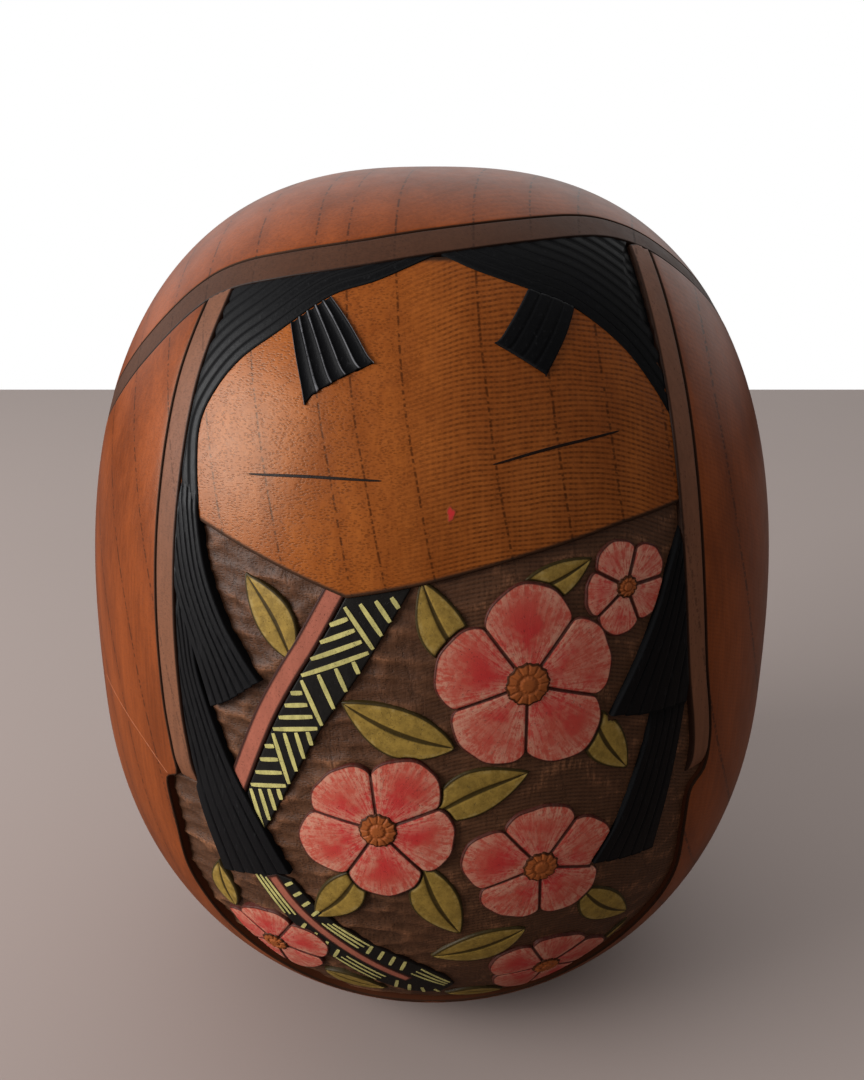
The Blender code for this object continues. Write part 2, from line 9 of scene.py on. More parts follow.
import bmesh
import bpy
import numpy as np
from bpy.props import FloatProperty, FloatVectorProperty, PointerProperty
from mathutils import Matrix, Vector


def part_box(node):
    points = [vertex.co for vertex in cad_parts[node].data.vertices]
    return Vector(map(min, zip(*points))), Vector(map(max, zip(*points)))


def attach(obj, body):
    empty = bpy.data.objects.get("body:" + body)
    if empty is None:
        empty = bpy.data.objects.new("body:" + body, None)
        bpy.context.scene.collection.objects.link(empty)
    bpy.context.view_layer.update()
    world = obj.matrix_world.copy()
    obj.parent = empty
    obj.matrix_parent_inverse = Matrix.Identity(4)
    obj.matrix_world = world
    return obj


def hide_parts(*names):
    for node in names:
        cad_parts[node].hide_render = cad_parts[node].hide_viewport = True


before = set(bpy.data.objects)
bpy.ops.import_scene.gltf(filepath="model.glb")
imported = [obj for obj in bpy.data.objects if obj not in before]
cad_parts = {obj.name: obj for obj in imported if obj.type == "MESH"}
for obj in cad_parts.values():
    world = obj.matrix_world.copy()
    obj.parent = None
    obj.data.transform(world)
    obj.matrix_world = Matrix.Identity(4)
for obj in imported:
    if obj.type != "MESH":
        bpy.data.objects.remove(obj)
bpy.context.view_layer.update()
body_low, body_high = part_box("turned_body")

bl_info = {
    "name": "Kokeshi Doll",
    "version": (1, 0, 0),
    "blender": (4, 5, 0),
    "location": "3D View > Sidebar > Kokeshi",
    "description": "Carves and paints an egg-shaped kokeshi doll over its solids",
    "category": "Add Mesh",
}

MM = 0.001
TAU = 2 * math.pi
VALUE_NAMES = ("edge", "along", "across", "relief")

# The egg that the drawing was made on, and the powers of its outline
DRAWN_WIDTH = 90.0
DRAWN_HEIGHT = 106.5
CROWN_POWER = 2.57
BELLY_POWER = 2.18

# Steps of the grids and the border of a plate, in millimetres
SPAN_STEPS = 24
EDGE_STEPS = np.array([0.0, 0.05, 0.12, 0.2, 0.32])
CLOSE_SHARE = 0.3
NARROWEST = 0.02
PLATE_DEPTH = 1.4
MERGE_DISTANCE = 0.000001
SHARP_ANGLE = math.radians(50)

# Rows and columns of the grids
SEAM_ROWS = 8
OPENING_ROWS = 150
HOOD_COLUMNS = 190
POLE_SHARE = 0.004
CROWN_RUN = 60.0
CROWN_ROWS = 80
TIE_COLUMNS = 9
TRIM_GRID = (150, 10)
FACE_GRID = (150, 80)
STRAND_GRID = (90, 7)
STRAND_LINE = 260
TRESS_ROWS = 70
STRAND_COLUMNS = 10
GROUND_LINE = 240
GROUND_GRID = (230, 190)
STRIPE_GRID = (90, 8)
WEAVE_GRID = (90, 24)
SASH_GRID = (90, 30)
LEAF_GRID = (46, 22)
LINE_STEPS = 60
LINE_COLUMNS = 4
STROKE_STEPS = 14
PETAL_STEPS = 48
BOSS_STEPS = 96
MOUTH_STEPS = 40
HEM_STEPS = 50

# Heights of the fields over the turned surface, in millimetres
TIE_LEVEL = -0.03
TRIM_LEVEL = -0.03
HEM_LEVEL = 0.02
FACE_LEVEL = -0.3
LINE_LEVEL = -0.27
BANG_LEVEL = -0.17
FORELOCK_LEVEL = 0.04
UPPER_LOCK_LEVEL = 0.04
LOWER_LOCK_LEVEL = -0.14
STRIPE_LEVEL = -0.42
WEAVE_LEVEL = -0.5
STROKE_LEVEL = -0.45
LEAF_LEVEL = -0.5
PETAL_LEVEL = -0.38
BOSS_LEVEL = -0.32
MOUTH_LEVEL = LINE_LEVEL - 0.015
LEAF_STEP = 0.012

# Rounded borders that are finer than the groove setting, in millimetres
HEM_ROLL = 0.02
MOUTH_ROLL = 0.03
EYE_ROLL = 0.04
STROKE_ROLL = 0.05
BANG_ROLL = 0.06
TRESS_ROLL = 0.08
PETAL_ROLL = 0.14

# Gaps beside the tie and the trims, and how far a piece is let down under its neighbours, in millimetres
TIE_GAP = 0.03
TRIM_GAP = 0.05
TIE_OVERLAP = 0.1
TRIM_OVERLAP = 0.2
UNDER_TIE = 0.4
UNDER_TRIM = 0.6
BANG_UNDER_TRIM = 0.07
FIELD_MARGIN = 0.3
UNDER_HAIR = 1.2
UNDER_PETAL = 0.6

# Hood: the tie's middle line as (degrees round from the front, height), and the opening from left to right
TIE_ROUTE = [
    (0, 99.3), (20, 100.2), (40, 100.5), (53, 99.6), (63, 97.3), (77, 91.0), (97, 80.0), (122, 67.5),
    (150, 57.5), (180, 53.5), (210, 56.0), (238, 62.5), (266, 71.0), (288, 80.5), (300, 87.3), (310, 93.2),
    (318, 95.6), (330, 97.0), (345, 98.2),
]
OPENING = [
    (-21.4, 98.2), (-22.8, 95.3), (-26.5, 85.5), (-28.7, 73.0), (-29.5, 62.0), (-29.4, 52.0), (-28.8, 46.0),
    (-28.4, 42.8), (-30.0, 41.2), (-29.4, 35.0), (-28.9, 28.8), (-27.2, 24.2), (-24.4, 19.6), (-19.0, 14.4),
    (-11.0, 9.9), (0.0, 8.4), (11.0, 9.9), (19.2, 14.4), (24.8, 19.4), (27.9, 23.8), (29.1, 28.4),
    (29.0, 35.0), (29.2, 40.2), (31.0, 42.2), (31.4, 45.6), (31.0, 49.4), (29.9, 55.6), (29.0, 63.2),
    (28.3, 69.7), (27.6, 76.0), (26.4, 85.0), (24.0, 98.0), (22.8, 101.4),
]
TRIM_FOOT = 42.6
TRIM_SLOPE = 2.5
TRIM_FALL = 0.5
HEM_LEFT = [(-29.8, 42.2), (-33.2, 44.7), (-36.9, 46.6), (-40.2, 47.6)]
HEM_WIDTH = 0.13

# Face: its lower and upper borders, the eye lines and the mouth
COLLAR = [(-27.0, 73.9), (-14.1, 69.3), (-8.3, 67.3), (-1.2, 68.8), (9.1, 71.3), (18.4, 73.2), (27.6, 74.4)]
FACE_TOP = [
    (-25.0, 84.0), (-19.6, 91.0), (-11.0, 96.2), (0.8, 98.2), (13.0, 96.4), (20.8, 91.2), (24.8, 85.0),
]
EYES = {
    "eye_left": [(-18.2, 78.1), (-11.7, 78.5), (-4.7, 78.5)],
    "eye_right": [(5.7, 79.9), (11.5, 81.1), (18.6, 82.0)],
}
MOUTH_PLACE = (1.8, 75.6)
MOUTH_HALF_WIDTH = 0.42
MOUTH_HALF_HEIGHT = 0.78
MOUTH_EDGE = 0.6

# Hair: free edges of the bangs from the parting, and both long edges of each forelock and lock
BANGS = {
    "bang_left": [
        (0.7, 98.4), (-5.3, 96.0), (-10.0, 94.5), (-15.6, 90.9), (-19.3, 88.3), (-22.0, 85.2),
        (-23.6, 82.0), (-23.9, 78.0), (-23.6, 72.8),
    ],
    "bang_right": [
        (0.7, 98.4), (4.3, 96.9), (9.4, 95.2), (14.0, 93.4), (19.0, 89.7), (22.6, 85.4), (25.6, 80.6),
    ],
}
FORELOCKS = {
    "forelock_left": [
        [(-14.4, 94.2), (-13.4, 89.6), (-12.3, 85.2)],
        [(-10.8, 95.4), (-8.0, 92.2), (-5.5, 88.4)],
    ],
    "forelock_right": [
        [(10.4, 96.6), (8.4, 93.4), (6.0, 90.0)],
        [(14.8, 94.9), (13.2, 91.0), (11.0, 87.4)],
    ],
}
LOCKS = {
    "lock_left_upper": [
        [(-24.0, 78.0), (-23.6, 72.2), (-22.8, 67.6), (-21.2, 63.4), (-19.3, 60.2), (-17.4, 57.2)],
        [(-27.9, 78.0), (-27.6, 72.2), (-27.0, 66.0), (-24.9, 59.2), (-23.2, 53.8)],
    ],
    "lock_left_lower": [
        [(-26.4, 68.6), (-25.2, 61.4), (-24.5, 56.0), (-21.7, 47.5), (-18.0, 39.8), (-15.4, 34.2)],
        [(-28.4, 68.6), (-28.2, 61.4), (-27.8, 55.0), (-26.7, 47.5), (-25.8, 40.5), (-23.6, 32.4)],
    ],
    "lock_right_upper": [
        [(26.2, 73.2), (24.6, 69.0), (23.0, 63.8), (21.0, 58.9), (18.4, 53.7)],
        [(28.0, 73.2), (28.4, 68.0), (28.2, 62.0), (27.4, 52.6)],
    ],
    "lock_right_lower": [
        [(23.6, 54.0), (22.3, 47.5), (20.1, 40.4), (17.6, 35.5)],
        [(27.6, 54.0), (26.6, 44.4), (25.0, 34.9)],
    ],
}
SCOOPED = "forelock_left"
STRANDS = {
    "bang_left": 10, "bang_right": 12, "forelock_left": 5, "forelock_right": 4, "lock_left_upper": 7,
    "lock_left_lower": 6, "lock_right_upper": 6, "lock_right_lower": 5,
}
STRAND_GAP = 0.01
STRAND_TILT = 0.07
STRAND_DROP = 0.03
STRAND_END_DIP = 0.4
FEWEST_POINTS = 8
SCOOP_DEPTH = 0.22
RIDGE_HALF = 0.08
SPIKE_LENGTH = 0.6
SPIKE_WIDTH = 0.5
CUT_DEPTH = 0.12
CUT_HALF = 0.13
RAGGED_LENGTH = 0.55
RAGGED_TURN = 12.9898
TIP_START = 0.8
TIP_LENGTH = 0.2
FORELOCK_TUCK = 0.5
LOCK_TUCK = 0.3

# Kimono: its ground and gouge marks, the collar's stripe and woven band, and the sash's two long edges
GROUND_FOOT = 7.9
GROUND_TOP = 74.6
GROUND_TUCK = 0.6
GOUGE_SHALLOW = 0.07
GOUGE_DEEPER = 0.33
GOUGE_SEED = 7
GOUGE_SHIFT = 0.32
GOUGE_COLUMNS = 61
GOUGE_ROWS = 67
GOUGE_REACH = 0.72
GOUGE_WAVE = 0.5
GOUGE_WAVE_TURN = 0.3
GOUGE_FADE_END = 6
GOUGE_FADE = 14
STRIPE_ROUTE = [(-8.9, 69.0), (-12.4, 62.6), (-15.1, 58.0), (-17.6, 53.0), (-20.6, 45.4), (-22.0, 41.4)]
WEAVE_LEFT = [
    (-7.8, 68.6), (-11.3, 62.2), (-14.0, 57.6), (-16.5, 52.6), (-19.5, 45.0), (-20.6, 41.0), (-21.2, 38.0),
]
WEAVE_RIGHT = [
    (-1.4, 69.6), (-3.4, 66.1), (-6.9, 60.1), (-11.5, 52.8), (-16.1, 43.6), (-18.2, 39.4), (-19.6, 36.4),
]
WEAVE_MARKS_LEFT = (0.07, 0.348, 0.56, 0.797, 1.0)
WEAVE_MARKS_RIGHT = (0.045, 0.233, 0.507, 0.727, 0.92)
WEAVE_STROKES = 4
WEAVE_STROKE_WIDTH = 0.56
SASH_UPPER = [(-15.4, 33.4), (-11.0, 28.0), (-3.3, 22.4), (1.2, 18.6), (2.7, 15.8)]
SASH_LOWER = [(-20.8, 34.4), (-18.4, 29.6), (-14.8, 24.6), (-9.3, 18.2), (-2.8, 13.3), (1.0, 13.0)]
SASH_LINE_WIDTH = 1.6
SASH_CROSS_WIDTH = 0.5
SASH_LONG_WIDTH = 0.42
SASH_GROUPS = 4
SASH_START = 0.03
SASH_REACH = 0.95
SASH_LEAN = 0.045
SASH_CROSS_STROKES = 4
SASH_LONG_DEPTHS = (0.42, 0.65, 0.88)

# Flowers as (x, z, radius, turn in degrees) and leaves as (x, z, length, width, turn in degrees)
BLOSSOMS = [
    (9.5, 58.5, 9.6, 90), (-5.6, 42.2, 8.6, 60), (11.6, 36.6, 8.2, 20), (-18.6, 20.6, 6.8, 100),
    (13.6, 17.6, 7.2, 75), (19.6, 67.0, 4.8, 40),
]
LEAVES = [
    (1.4, 64.8, 10.5, 4.8, 118), (12.0, 69.0, 8.4, 3.8, 20), (-3.4, 54.2, 12.4, 5.6, 158),
    (18.6, 50.6, 9.4, 4.4, 300), (4.8, 46.2, 11.6, 5.4, 24), (1.0, 32.6, 11.6, 5.4, 292),
    (-10.4, 32.4, 10.0, 4.8, 236), (20.0, 27.6, 10.4, 4.8, 310), (5.2, 25.0, 11.4, 5.2, 200),
    (-9.2, 14.6, 8.2, 3.8, 340), (-24.0, 28.4, 7.6, 3.4, 100), (-16.4, 64.4, 9.6, 4.4, 120),
    (22.8, 18.4, 6.6, 3.2, 70), (5.2, 11.6, 7.4, 3.4, 172),
]
PETALS = 5
PETAL_NOTCH = 0.26
PETAL_ROUNDNESS = 0.45
PETAL_SWELL = 0.06
PETAL_LEAN = 0.09
PETAL_GROOVE = 0.14
PETAL_GROOVE_HALF = 0.16
BOSS_SHARE = 0.235
BOSS_DOME = 0.30
BOSS_RING = 0.16
BOSS_NICK = 0.14
BOSS_NICKS = 12
LEAF_BEND = 0.05
LEAF_SWELL = 0.04
LEAF_RIB = 0.10
LEAF_RIB_HALF = 0.15

# Growth rings: how far apart they are, how they lean with height and depth, and how far they wander
RING_STEP = 5.6
RING_LEAN = 0.25
RING_TURN = -0.2
RING_SWAY = 2.4

# Varnish: its tint, and for each wood its gloss, its border line's width and its marks' strengths
VARNISH = (1.0, 0.76, 0.56, 1.0)
HOOD_FINISH = {"gloss": 0.38, "line": 0.28, "ring": 0.75, "pore": 0.16, "dash": 0.22, "ray": 0.2}
FACE_FINISH = {"gloss": 0.40, "line": 0.6, "ring": 0.8, "pore": 0.3, "dash": 0.6, "ray": 0.85}

# Stage, in metres, with the loss of light on the right and the strength of the backdrop in reflections
FLOOR_HALF = 3.0
LAMP_WIDTH = 0.42
LAMP_HEIGHT = 0.36
LAMP_PLACE = (-0.58, -0.21, 0.27)
CLIP_START = 0.005
CAMERA_TILT = math.radians(20)
SIDE_LOSS = 0.05
BACKDROP_SHINE = 0.34


def length_setting(name, description, value):
    """A length that a user may change, in metres."""
    return FloatProperty(name=name, description=description, default=value, min=0.0, unit="LENGTH")


def colour_setting(name, description, value):
    """A colour that a user may change, as linear red, green and blue."""
    return FloatVectorProperty(
        name=name, description=description, default=value, size=3, min=0.0, max=1.0, subtype="COLOR"
    )


class DollSizes(bpy.types.PropertyGroup):
    """Sizes of the egg and of its carved fields"""

    egg_width: length_setting("Egg Width", "Widest diameter of the egg", body_high.x - body_low.x)
    egg_height: length_setting("Egg Height", "Height of the egg over its base", body_high.z - body_low.z)
    widest_height: length_setting("Widest Height", "Height of the egg's widest ring", 0.043)
    base_diameter: length_setting("Base Diameter", "Diameter where the belly meets the base", 0.044)
    base_edge: length_setting("Base Edge", "Width of the worn edge of the base", 0.0008)
    tie_width: length_setting("Tie Width", "Width of the tie round the hood", 0.0036)
    trim_width: length_setting("Trim Width", "Width of the trims inside the opening, in front view", 0.0024)
    strand_width: length_setting("Strand Width", "Width of one strand of the bangs", 0.00112)
    stripe_width: length_setting("Stripe Width", "Width of the collar's red stripe", 0.0022)
    eye_width: length_setting("Eye Width", "Width of an eye line at its middle", 0.0003)
    groove: length_setting("Groove", "Radius of the rounded border of each field", 0.0002)
    ground_depth: length_setting("Ground Depth", "Depth of the kimono's ground", 0.00066)
    gouge_length: length_setting("Gouge Length", "Length of one gouge mark", 0.004)
    gouge_height: length_setting("Gouge Height", "Height of one row of gouge marks", 0.0016)


class DollColours(bpy.types.PropertyGroup):
    """Colours of the wood and of the paints"""

    hood: colour_setting("Hood", "Bare wood of the hood", (0.35, 0.076, 0.0145))
    hood_dark: colour_setting("Hood Grain", "Dark grain of the hood", (0.155, 0.030, 0.005))
    face: colour_setting("Face", "Bare wood of the face", (0.44, 0.119, 0.0185))
    face_dark: colour_setting("Face Grain", "Dark grain of the face", (0.245, 0.056, 0.008))
    tie: colour_setting("Tie", "Taupe stain of the tie and the trims", (0.22, 0.085, 0.042))
    hair: colour_setting("Hair", "Black ink of the hair", (0.0058, 0.0058, 0.0066))
    # This grey is a painted highlight on the crests of the scooped forelock, and also scratched wear on the
    # ink.
    hair_wear_and_highlight: colour_setting("Hair Wear and Highlight", "Rubbed crests of the hair", (0.15, 0.15, 0.16))
    ink: colour_setting("Ink", "Ink of the drawn lines", (0.017, 0.0075, 0.0045))
    mouth: colour_setting("Mouth", "Red of the mouth", (0.66, 0.03, 0.03))
    ground: colour_setting("Ground", "Brown ground of the kimono", (0.215, 0.088, 0.040))
    stripe: colour_setting("Stripe", "Brick red of the collar's stripe", (0.38, 0.115, 0.072))
    weave: colour_setting("Weave", "Black of the woven bands", (0.008, 0.007, 0.006))
    stroke: colour_setting("Stroke", "Yellow green of the woven strokes", (0.70, 0.62, 0.22))
    petal: colour_setting("Petal", "Coral red of the petals", (0.58, 0.098, 0.062))
    petal_red: colour_setting("Petal Red", "Clear red glaze on the petals", (0.60, 0.030, 0.032))
    petal_edge: colour_setting("Petal Edge", "Dry-brushed edge of the petals", (0.70, 0.31, 0.21))
    boss: colour_setting("Boss", "Orange brown of the flower middles", (0.33, 0.085, 0.020))
    leaf: colour_setting("Leaf", "Olive of the leaves", (0.33, 0.205, 0.040))
    leaf_edge: colour_setting("Leaf Edge", "Rubbed rim of the leaves", (0.42, 0.30, 0.11))


class StageSettings(bpy.types.PropertyGroup):
    """Floor, light and camera"""

    floor: colour_setting("Floor", "Pale floor", (0.42, 0.34, 0.31))
    bounce: colour_setting("Bounce", "Colour that the floor throws back on the doll", (0.11, 0.07, 0.055))
    table_end: length_setting("Table End", "How far the floor reaches behind the doll", 0.39)
    camera_distance: length_setting("Camera Distance", "Distance of the camera before the axis", 0.13062)
    camera_height: length_setting("Camera Height", "Height of the camera over the floor", 0.10540)
    camera_tilt: FloatProperty(
        name="Camera Tilt",
        description="How far the camera looks down",
        default=CAMERA_TILT,
        subtype="ANGLE",
    )
    lens: FloatProperty(name="Lens", description="Focal length", default=33.33, unit="CAMERA")
    key_power: FloatProperty(
        name="Key Light", description="Power of the left window", default=4.7, unit="POWER"
    )
    ambient: FloatProperty(name="Ambient", description="Level of the light from behind", default=0.62)
    front: FloatProperty(
        name="Front", description="Share of that light that comes from the front", default=0.60
    )


class Egg:
    """The turned surface, in millimetres.

    Above the widest height its outline is a superellipse of CROWN_POWER, below it one of BELLY_POWER that
    the base cuts off: radius = half width * (1 - share of the way to the pole ** power) ** (1 / power).
    """

    def __init__(self, sizes):
        self.half = sizes.egg_width / MM / 2
        self.height = sizes.egg_height / MM
        self.widest = sizes.widest_height / MM
        self.base = sizes.base_diameter / MM / 2
        kept = 1 - (self.base / self.half) ** BELLY_POWER
        self.belly = self.widest / kept ** (1 / BELLY_POWER)
        self.scale = np.array([2 * self.half / DRAWN_WIDTH, self.height / DRAWN_HEIGHT])

    def drawn(self, points):
        """Points of the drawing, stretched to this egg."""
        return np.asarray(points, float) * self.scale

    def rise(self, z):
        """Share of the way from the widest height to the pole, with the reach and power of that half."""
        upper = z >= self.widest
        reach = np.where(upper, self.height - self.widest, self.belly)
        power = np.where(upper, CROWN_POWER, BELLY_POWER)
        return np.clip((z - self.widest) / reach, -1, 1), reach, power

    def radius(self, z):
        """Radius of the egg at a height."""
        rise, _, power = self.rise(z)
        return self.half * (1 - np.abs(rise) ** power) ** (1 / power)

    def normal(self, points):
        """Outward direction: the gradient of the superellipse."""
        rise, reach, power = self.rise(points[..., 2])
        around = np.maximum(np.hypot(points[..., 0], points[..., 1]), 1e-6)
        outwards = (around / self.half) ** (power - 1) / self.half / around
        upwards = np.sign(rise) * np.abs(rise) ** (power - 1) / reach
        found = np.stack([points[..., 0] * outwards, points[..., 1] * outwards, upwards], axis=-1)
        return found / np.linalg.norm(found, axis=-1, keepdims=True)

    def lifted(self, points, lift):
        """Points moved out of the surface along its normal."""
        return points + self.normal(points) * np.asarray(lift, float)[..., None]

    def front(self, places, lift):
        """Points of the surface straight behind places (x, z) of the drawing, moved out by lift."""
        x = places[..., 0]
        z = places[..., 1]
        depth = np.sqrt(np.maximum(self.radius(z) ** 2 - x**2, 0))
        return self.lifted(np.stack([x, -depth, z], axis=-1), lift)

    def around(self, angle, z, lift):
        """Points at an angle round from the front and a height, moved out by lift."""
        radius = self.radius(z)
        points = np.stack([radius * np.sin(angle), -radius * np.cos(angle), z + 0 * angle], axis=-1)
        return self.lifted(points, lift)

    def angle(self, places):
        """Angle round from the front of places (x, z) of the drawing."""
        return np.arcsin(np.clip(places[..., 0] / self.radius(places[..., 1]), -1, 1))


def rounded(points):
    """Smooth curve through drawn points: each span is the cubic whose end slopes join its neighbours."""
    line = np.asarray(points, float)
    padded = np.concatenate([2 * line[:1] - line[1:2], line, 2 * line[-1:] - line[-2:-1]])
    before = padded[:-3]
    start = padded[1:-2]
    end = padded[2:-1]
    after = padded[3:]
    share = np.linspace(0, 1, SPAN_STEPS, endpoint=False)[:, None, None]
    bend = 2 * before - 5 * start + 4 * end - after
    twist = 3 * start - before - 3 * end + after
    spans = start + 0.5 * ((end - before) * share + bend * share**2 + twist * share**3)
    return np.concatenate([spans.transpose(1, 0, 2).reshape(-1, line.shape[1]), line[-1:]])


def length_of(line):
    """Length of a line of points."""
    return np.linalg.norm(np.diff(line, axis=0), axis=1).sum()


def resampled(line, shares):
    """Points of a line at shares of its length."""
    run = np.concatenate([[0], np.cumsum(np.linalg.norm(np.diff(line, axis=0), axis=1))])
    places = np.asarray(shares) * run[-1]
    return np.stack([np.interp(places, run, column) for column in line.T], axis=-1)


def spaced(length, count):
    """Shares from 0 to 1 of a length: even steps, and close ones beside both ends for the border."""
    length = np.asarray(length, float)[..., None]
    close = np.minimum(EDGE_STEPS / length, EDGE_STEPS / EDGE_STEPS[-1] * CLOSE_SHARE)
    reach = close[..., -1:]
    inner = reach + np.linspace(0, 1, count)[1:-1] * (1 - 2 * reach)
    return np.concatenate([close, inner, 1 - close[..., ::-1]], axis=-1)


def rolled(edge, radius):
    """How far a rounded border lies below its field: a quarter circle of that radius."""
    short = np.clip(radius - edge, 0, radius)
    return radius - np.sqrt(radius**2 - short**2)


def nearest(line, points):
    """Least distance from each point to a line of straight steps."""
    found = np.full(points.shape[:-1], np.inf)
    for start, end in zip(line[:-1], line[1:]):
        step = end - start
        share = np.clip((points - start) @ step / max(step @ step, 1e-12), 0, 1)
        found = np.minimum(found, np.linalg.norm(points - start - share[..., None] * step, axis=-1))
    return found


def parallel(egg, line, distance):
    """A line of the drawing moved over the surface by a distance, square to itself and to the surface."""
    points = egg.front(line, np.zeros(len(line)))
    side = np.cross(egg.normal(points), np.gradient(points, axis=0))
    side /= np.linalg.norm(side, axis=1, keepdims=True)
    return (points + side * distance)[:, [0, 2]]


def ribbon(line, width):
    """Both edges of a band of the given width or widths along a line of the drawing."""
    along = np.gradient(line, axis=0)
    along /= np.linalg.norm(along, axis=1, keepdims=True)
    side = np.stack([-along[:, 1], along[:, 0]], axis=-1) * np.reshape(width, (-1, 1)) / 2
    return line + side, line - side


class Field:
    """The drawing between two edges, as a grid: row by row it joins equal shares of the two edges."""

    def __init__(self, first, second, rows, columns):
        length = (length_of(first) + length_of(second)) / 2
        share = spaced(length, rows)
        start = resampled(first, share)
        end = resampled(second, share)
        self.width = np.maximum(np.linalg.norm(end - start, axis=1), NARROWEST)[:, None]
        self.across = spaced(self.width[:, 0], columns)
        self.along = np.broadcast_to(share[:, None], self.across.shape)
        self.places = start[:, None] + (end - start)[:, None] * self.across[..., None]
        sides = np.minimum(self.across, 1 - self.across) * self.width
        ends = np.minimum(self.along, 1 - self.along) * length
        self.edge = np.minimum(sides, ends)


def grid_quads(rows, columns, ring):
    """Corner numbers of the quads between rows of closed sections."""
    row, column = np.meshgrid(np.arange(rows if ring else rows - 1), np.arange(columns), indexing="ij")
    next_row = (row + 1) % rows * columns
    next_column = (column + 1) % columns
    row = row * columns
    corners = [row + column, row + next_column, next_row + next_column, next_row + column]
    return np.stack(corners, axis=-1).reshape(-1, 4)


class Carving:
    """Closed bodies gathered into one piece, in millimetres, with the values that its finish reads."""

    def __init__(self, bench, roll=None):
        self.egg = bench.egg
        self.roll = roll or bench.sizes.groove / MM
        self.points = []
        self.values = []
        self.quads = []
        self.caps = []
        self.count = 0

    def loft(self, sections, values, ring=False):
        """Joins closed sections, a row of points each, and closes both ends with one face each."""
        rows, columns = sections.shape[:2]
        self.quads.append(grid_quads(rows, columns, ring) + self.count)
        if not ring:
            section = np.arange(columns) + self.count
            self.caps.append(section[::-1].tolist())
            self.caps.append((section + (rows - 1) * columns).tolist())
        self.points.append(sections.reshape(-1, 3))
        self.values.append(values.reshape(-1, len(VALUE_NAMES)))
        self.count += rows * columns

    def strip(self, top, low, values, ring=False):
        """Rows of points of a top, each closed over a low point at its two ends."""
        sections = np.concatenate([low[:, :1], top, low[:, 1:]], axis=1)
        self.loft(sections, np.pad(values, ((0, 0), (1, 1), (0, 0)), mode="edge"), ring)

    def plate(self, field, level, height=0.0):
        """A field as a plate, with its top at level plus height, a rounded border and walls."""
        height = np.broadcast_to(height, field.edge.shape)
        top = self.egg.front(field.places, level + height - rolled(field.edge, self.roll))
        low = self.egg.front(field.places[:, [0, -1]], np.full((len(top), 2), level - PLATE_DEPTH))
        values = np.stack([field.edge, field.along, field.across, height], axis=-1)
        self.strip(top, low, values)

    def disc(self, places, edge, along, across, lift, height):
        """Rings of places from a middle outwards, as a round plate closed below."""
        top = self.egg.front(places, lift)
        low = self.egg.front(places[-1:], lift[-1:] - PLATE_DEPTH)
        values = np.stack(np.broadcast_arrays(edge, along, across, height), axis=-1)
        values = np.concatenate([values, values[-1:]])
        self.loft(np.concatenate([top, low]), values)

    def finish(self, name, material, nodes, slot):
        """Makes the mesh, which rides on the root body and stands for the nodes it replaces."""
        mesh = bpy.data.meshes.new(name)
        faces = np.concatenate(self.quads).tolist() + self.caps
        mesh.from_pydata(np.concatenate(self.points) * MM, [], faces)
        values = np.concatenate(self.values).astype(np.float32)
        for value_name, column in zip(VALUE_NAMES, values.T):
            attribute = mesh.attributes.new(value_name, "FLOAT", "POINT")
            attribute.data.foreach_set("value", np.ascontiguousarray(column))
        shell = bmesh.new()
        shell.from_mesh(mesh)
        bmesh.ops.remove_doubles(shell, verts=shell.verts, dist=MERGE_DISTANCE)
        bmesh.ops.recalc_face_normals(shell, faces=shell.faces)
        shell.to_mesh(mesh)
        shell.free()
        mesh.shade_smooth()
        mesh.set_sharp_from_angle(angle=SHARP_ANGLE)
        mesh.materials.append(material)
        piece = bpy.data.objects.new(name, mesh)
        bpy.context.scene.collection.objects.link(piece)
        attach(piece, "root")
        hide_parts(*nodes)
        return piece


class Tie:
    """The tilted ring of the tie: its middle line round the egg, and the direction across it."""

    STEPS = 360

    def __init__(self, egg, width):
        self.egg = egg
        self.width = width
        turn = np.array([360, 0])
        route = np.array(TIE_ROUTE) * np.array([1, egg.scale[1]])
        line = rounded(np.concatenate([route[-2:] - turn, route, route[:3] + turn]))
        self.angles = np.linspace(0, TAU, self.STEPS, endpoint=False)
        heights = np.interp(self.angles, np.radians(line[:, 0]), line[:, 1])
        self.middle = egg.around(self.angles, heights, np.zeros(self.STEPS))
        along = np.roll(self.middle, -1, axis=0) - np.roll(self.middle, 1, axis=0)
        across = np.cross(egg.normal(self.middle), along)
        self.upwards = across / np.linalg.norm(across, axis=1, keepdims=True)

    def line(self, offset):
        """Angles and heights of the ring moved across itself by an offset."""
        points = self.middle + self.upwards * offset
        return np.stack([np.arctan2(points[:, 0], -points[:, 1]) % TAU, points[:, 2]], axis=-1)

    def height(self, angle, offset=0.0):
        """Height of the moved ring at an angle round from the front."""
        angles, heights = self.line(offset).T
        return np.interp(angle, angles, heights, period=TAU)


